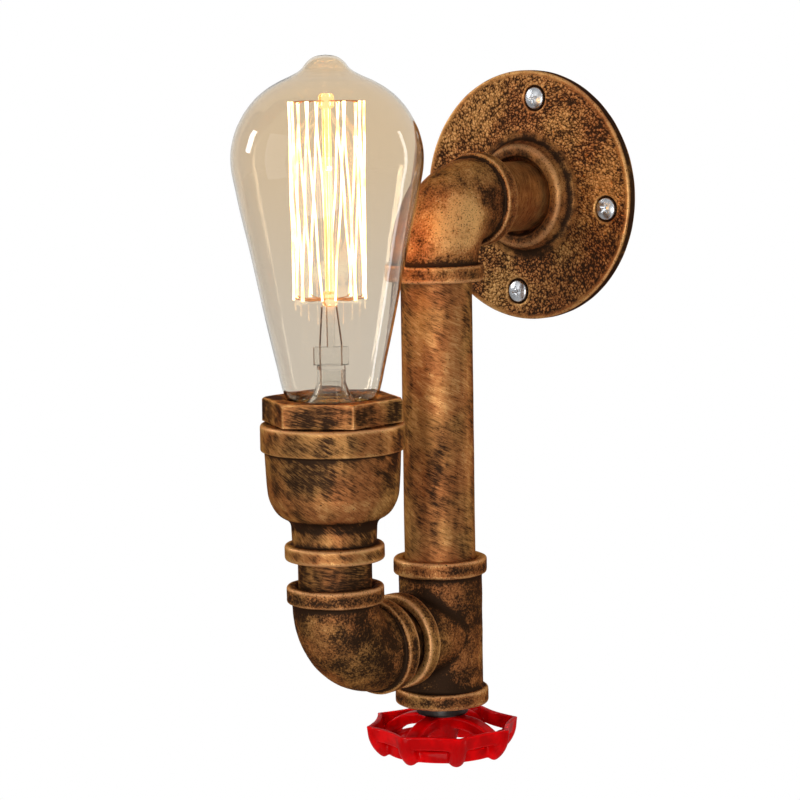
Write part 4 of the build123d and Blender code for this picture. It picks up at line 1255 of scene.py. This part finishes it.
def area_lamp(name, place, target, size, power, seen_through_glass):
    """Soft rectangular lamp that looks at a point."""
    data = bpy.data.lights.new(name, "AREA")
    data.shape = "RECTANGLE"
    data.size, data.size_y = size
    data.energy = power
    lamp = new_object(name, data)
    lamp.visible_transmission = seen_through_glass
    lamp.location = place
    lamp.rotation_euler = (target - place).to_track_quat("-Z", "Y").to_euler()


def seen_directly(tree, path):
    """1 for what the camera sees, straight or through glass."""
    return calc(tree, "MAXIMUM", path["Is Camera Ray"], path["Is Transmission Ray"])


def make_camera(stage):
    """Camera at the photograph's place; returns the way back to it and the level way to its right."""
    a, e, roll = stage.azimuth, stage.elevation, stage.roll
    back = Vector((math.sin(a) * math.cos(e), -math.cos(a) * math.cos(e), math.sin(e)))
    level = Vector((math.cos(a), math.sin(a), 0.0))
    upward = back.cross(level)
    right = level * math.cos(roll) + upward * math.sin(roll)
    up = upward * math.cos(roll) - level * math.sin(roll)
    target = Vector((0, -60.0 * MM, 0)) + level * (-11.61 * MM) + Vector((0, 0, -68.6 * MM))
    data = bpy.data.cameras.new("Camera")
    data.lens = stage.lens
    data.sensor_width = 36.0
    data.clip_start = 0.02
    camera = new_object("Camera", data)
    camera.matrix_world = Matrix.Translation(target + back * stage.distance) @ Matrix(
        (right, up, back)).transposed().to_4x4()
    bpy.context.scene.camera = camera
    return back, level


def make_world(back):
    """White surroundings behind the object, a dim room in front of it."""
    world = bpy.data.worlds.new("Studio")
    bpy.context.scene.world = world
    world.use_nodes = True
    tree = world.node_tree
    tree.nodes.clear()
    path = add(tree, "ShaderNodeLightPath").outputs
    direction = add(tree, "ShaderNodeTexCoord").outputs["Generated"]
    towards = vector_calc(tree, "DOT_PRODUCT", direction, tuple(-back), "Value")
    mirrored = spread(tree, towards, -0.35, 0.45, 0.46, 0.55)
    level = blend_values(tree, path["Is Glossy Ray"], 0.42, mirrored)
    strength = blend_values(tree, seen_directly(tree, path), level, 1.0)
    light = add(tree, "ShaderNodeBackground", {"Color": (1, 1, 1, 1), "Strength": strength})
    add(tree, "ShaderNodeOutputWorld", {"Surface": light.outputs[0]})


class PIPELIGHT_OT_stage(bpy.types.Operator):
    """Camera, white surroundings, pale floor and soft lamps"""
    bl_idname = "pipe_light.stage"
    bl_label = "Stage"

    def execute(self, context):
        """Set the camera first, then the world, the floor and the lamps."""
        stage = context.scene.pipe_light_stage
        back, level = make_camera(stage)
        make_world(back)
        floor_mesh = bpy.data.meshes.new("floor")
        reach = 4.0
        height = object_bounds()[0].z - 0.6
        floor_mesh.from_pydata([(-reach, -reach, height), (reach, -reach, height), (reach, reach, height),
                                (-reach, reach, height)], [], [(0, 1, 2, 3)])
        floor = new_object("floor", floor_mesh)
        material, tree, shader = finish_material(
            "Pale floor", Roughness=0.8, Base_Color=(0.85, 0.85, 0.85, 1.0))
        seen = seen_directly(tree, add(tree, "ShaderNodeLightPath").outputs)
        white = add(tree, "ShaderNodeEmission", {"Color": (1, 1, 1, 1), "Strength": 1.0})
        mixed = add(tree, "ShaderNodeMixShader", {0: seen, 1: shader.outputs[0], 2: white.outputs[0]})
        tree.links.new(mixed.outputs[0], tree.nodes["Material Output"].inputs["Surface"])
        floor_mesh.materials.append(material)
        floor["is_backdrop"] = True
        centre = Vector((0, -60 * MM, -60 * MM))
        up = Vector((0, 0, 1))
        bulb = Vector((0, LAMP_Y, 10 * MM))
        for name, target, backwards, sideways, upwards, size, power, seen_through_glass in (
                ("Key", centre, 1.0, -0.15, -0.25, (0.75, 0.55), stage.key_power, False),
                ("Glint", centre, 0.95, 0.02, -0.20, (0.10, 0.10), 0.55, False),
                ("Left", centre, 0.5, -0.9, 0.1, (0.5, 0.9), 1.4, False),
                ("Top", centre, 0.25, 0.0, 0.95, (0.7, 0.5), 0.35, False),
                ("Window left", bulb, -0.28, -0.91, 0.30, (0.16, 0.34), 1.6, True),
                ("Window right", bulb, 0.72, 0.59, 0.37, (0.13, 0.15), 0.5, True),
                ("Strip right", bulb, -0.31, 0.95, 0.0, (0.10, 0.9), stage.fill_power, True)):
            place = target + back * backwards + level * sideways + up * upwards
            area_lamp(name, place, target, size, power, seen_through_glass)
        inside = bpy.data.lights.new("Filament light", "POINT")
        inside.energy = stage.filament_power
        inside.color = (1.0, 0.36, 0.07)
        inside.shadow_soft_size = 9 * MM
        lamp = new_object("Filament light", inside)
        lamp.location = (0, LAMP_Y, 4 * MM)
        lamp.visible_glossy = False
        lamp.visible_transmission = False
        context.scene.view_settings.view_transform = "Standard"
        return {"FINISHED"}


# ---------------------------------------------------------------- add-on

class PIPELIGHT_PT_panel(bpy.types.Panel):
    """Steps and settings of the pipe wall light"""
    bl_label = "Pipe Wall Light"
    bl_idname = "PIPELIGHT_PT_panel"
    bl_space_type = "VIEW_3D"
    bl_region_type = "UI"
    bl_category = "Pipe Light"

    def draw(self, context):
        """List the operators in their order, then the settings."""
        for operator in OPERATORS:
            self.layout.operator(operator.bl_idname)
        for group in (context.scene.pipe_light_sizes, context.scene.pipe_light_finish,
                      context.scene.pipe_light_stage):
            box = self.layout.box()
            for name in group.__annotations__:
                box.prop(group, name)


OPERATORS = (
    PIPELIGHT_OT_stage, PIPELIGHT_OT_wall_flange, PIPELIGHT_OT_elbows, PIPELIGHT_OT_tee,
    PIPELIGHT_OT_pipes, PIPELIGHT_OT_lamp_cup, PIPELIGHT_OT_hex_bushing, PIPELIGHT_OT_wall_screws,
    PIPELIGHT_OT_bulb_glass, PIPELIGHT_OT_bulb_cap, PIPELIGHT_OT_filament, PIPELIGHT_OT_hooks,
    PIPELIGHT_OT_valve_wheel, PIPELIGHT_OT_inner_parts)
GROUPS = (PipeLightSizes, PipeLightFinish, PipeLightStage)


def register():
    """Add the settings, the operators and the panel."""
    for item in (*GROUPS, *OPERATORS, PIPELIGHT_PT_panel):
        bpy.utils.register_class(item)
    bpy.types.Scene.pipe_light_sizes = bpy.props.PointerProperty(type=PipeLightSizes)
    bpy.types.Scene.pipe_light_finish = bpy.props.PointerProperty(type=PipeLightFinish)
    bpy.types.Scene.pipe_light_stage = bpy.props.PointerProperty(type=PipeLightStage)


def unregister():
    """Take them away again."""
    del bpy.types.Scene.pipe_light_stage
    del bpy.types.Scene.pipe_light_finish
    del bpy.types.Scene.pipe_light_sizes
    for item in (PIPELIGHT_PT_panel, *reversed(OPERATORS), *reversed(GROUPS)):
        bpy.utils.unregister_class(item)


def main():
    """Make every piece in order."""
    register()
    for operator in OPERATORS:
        group, name = operator.bl_idname.split(".")
        getattr(getattr(bpy.ops, group), name)()


if __name__ == "__main__":
    main()
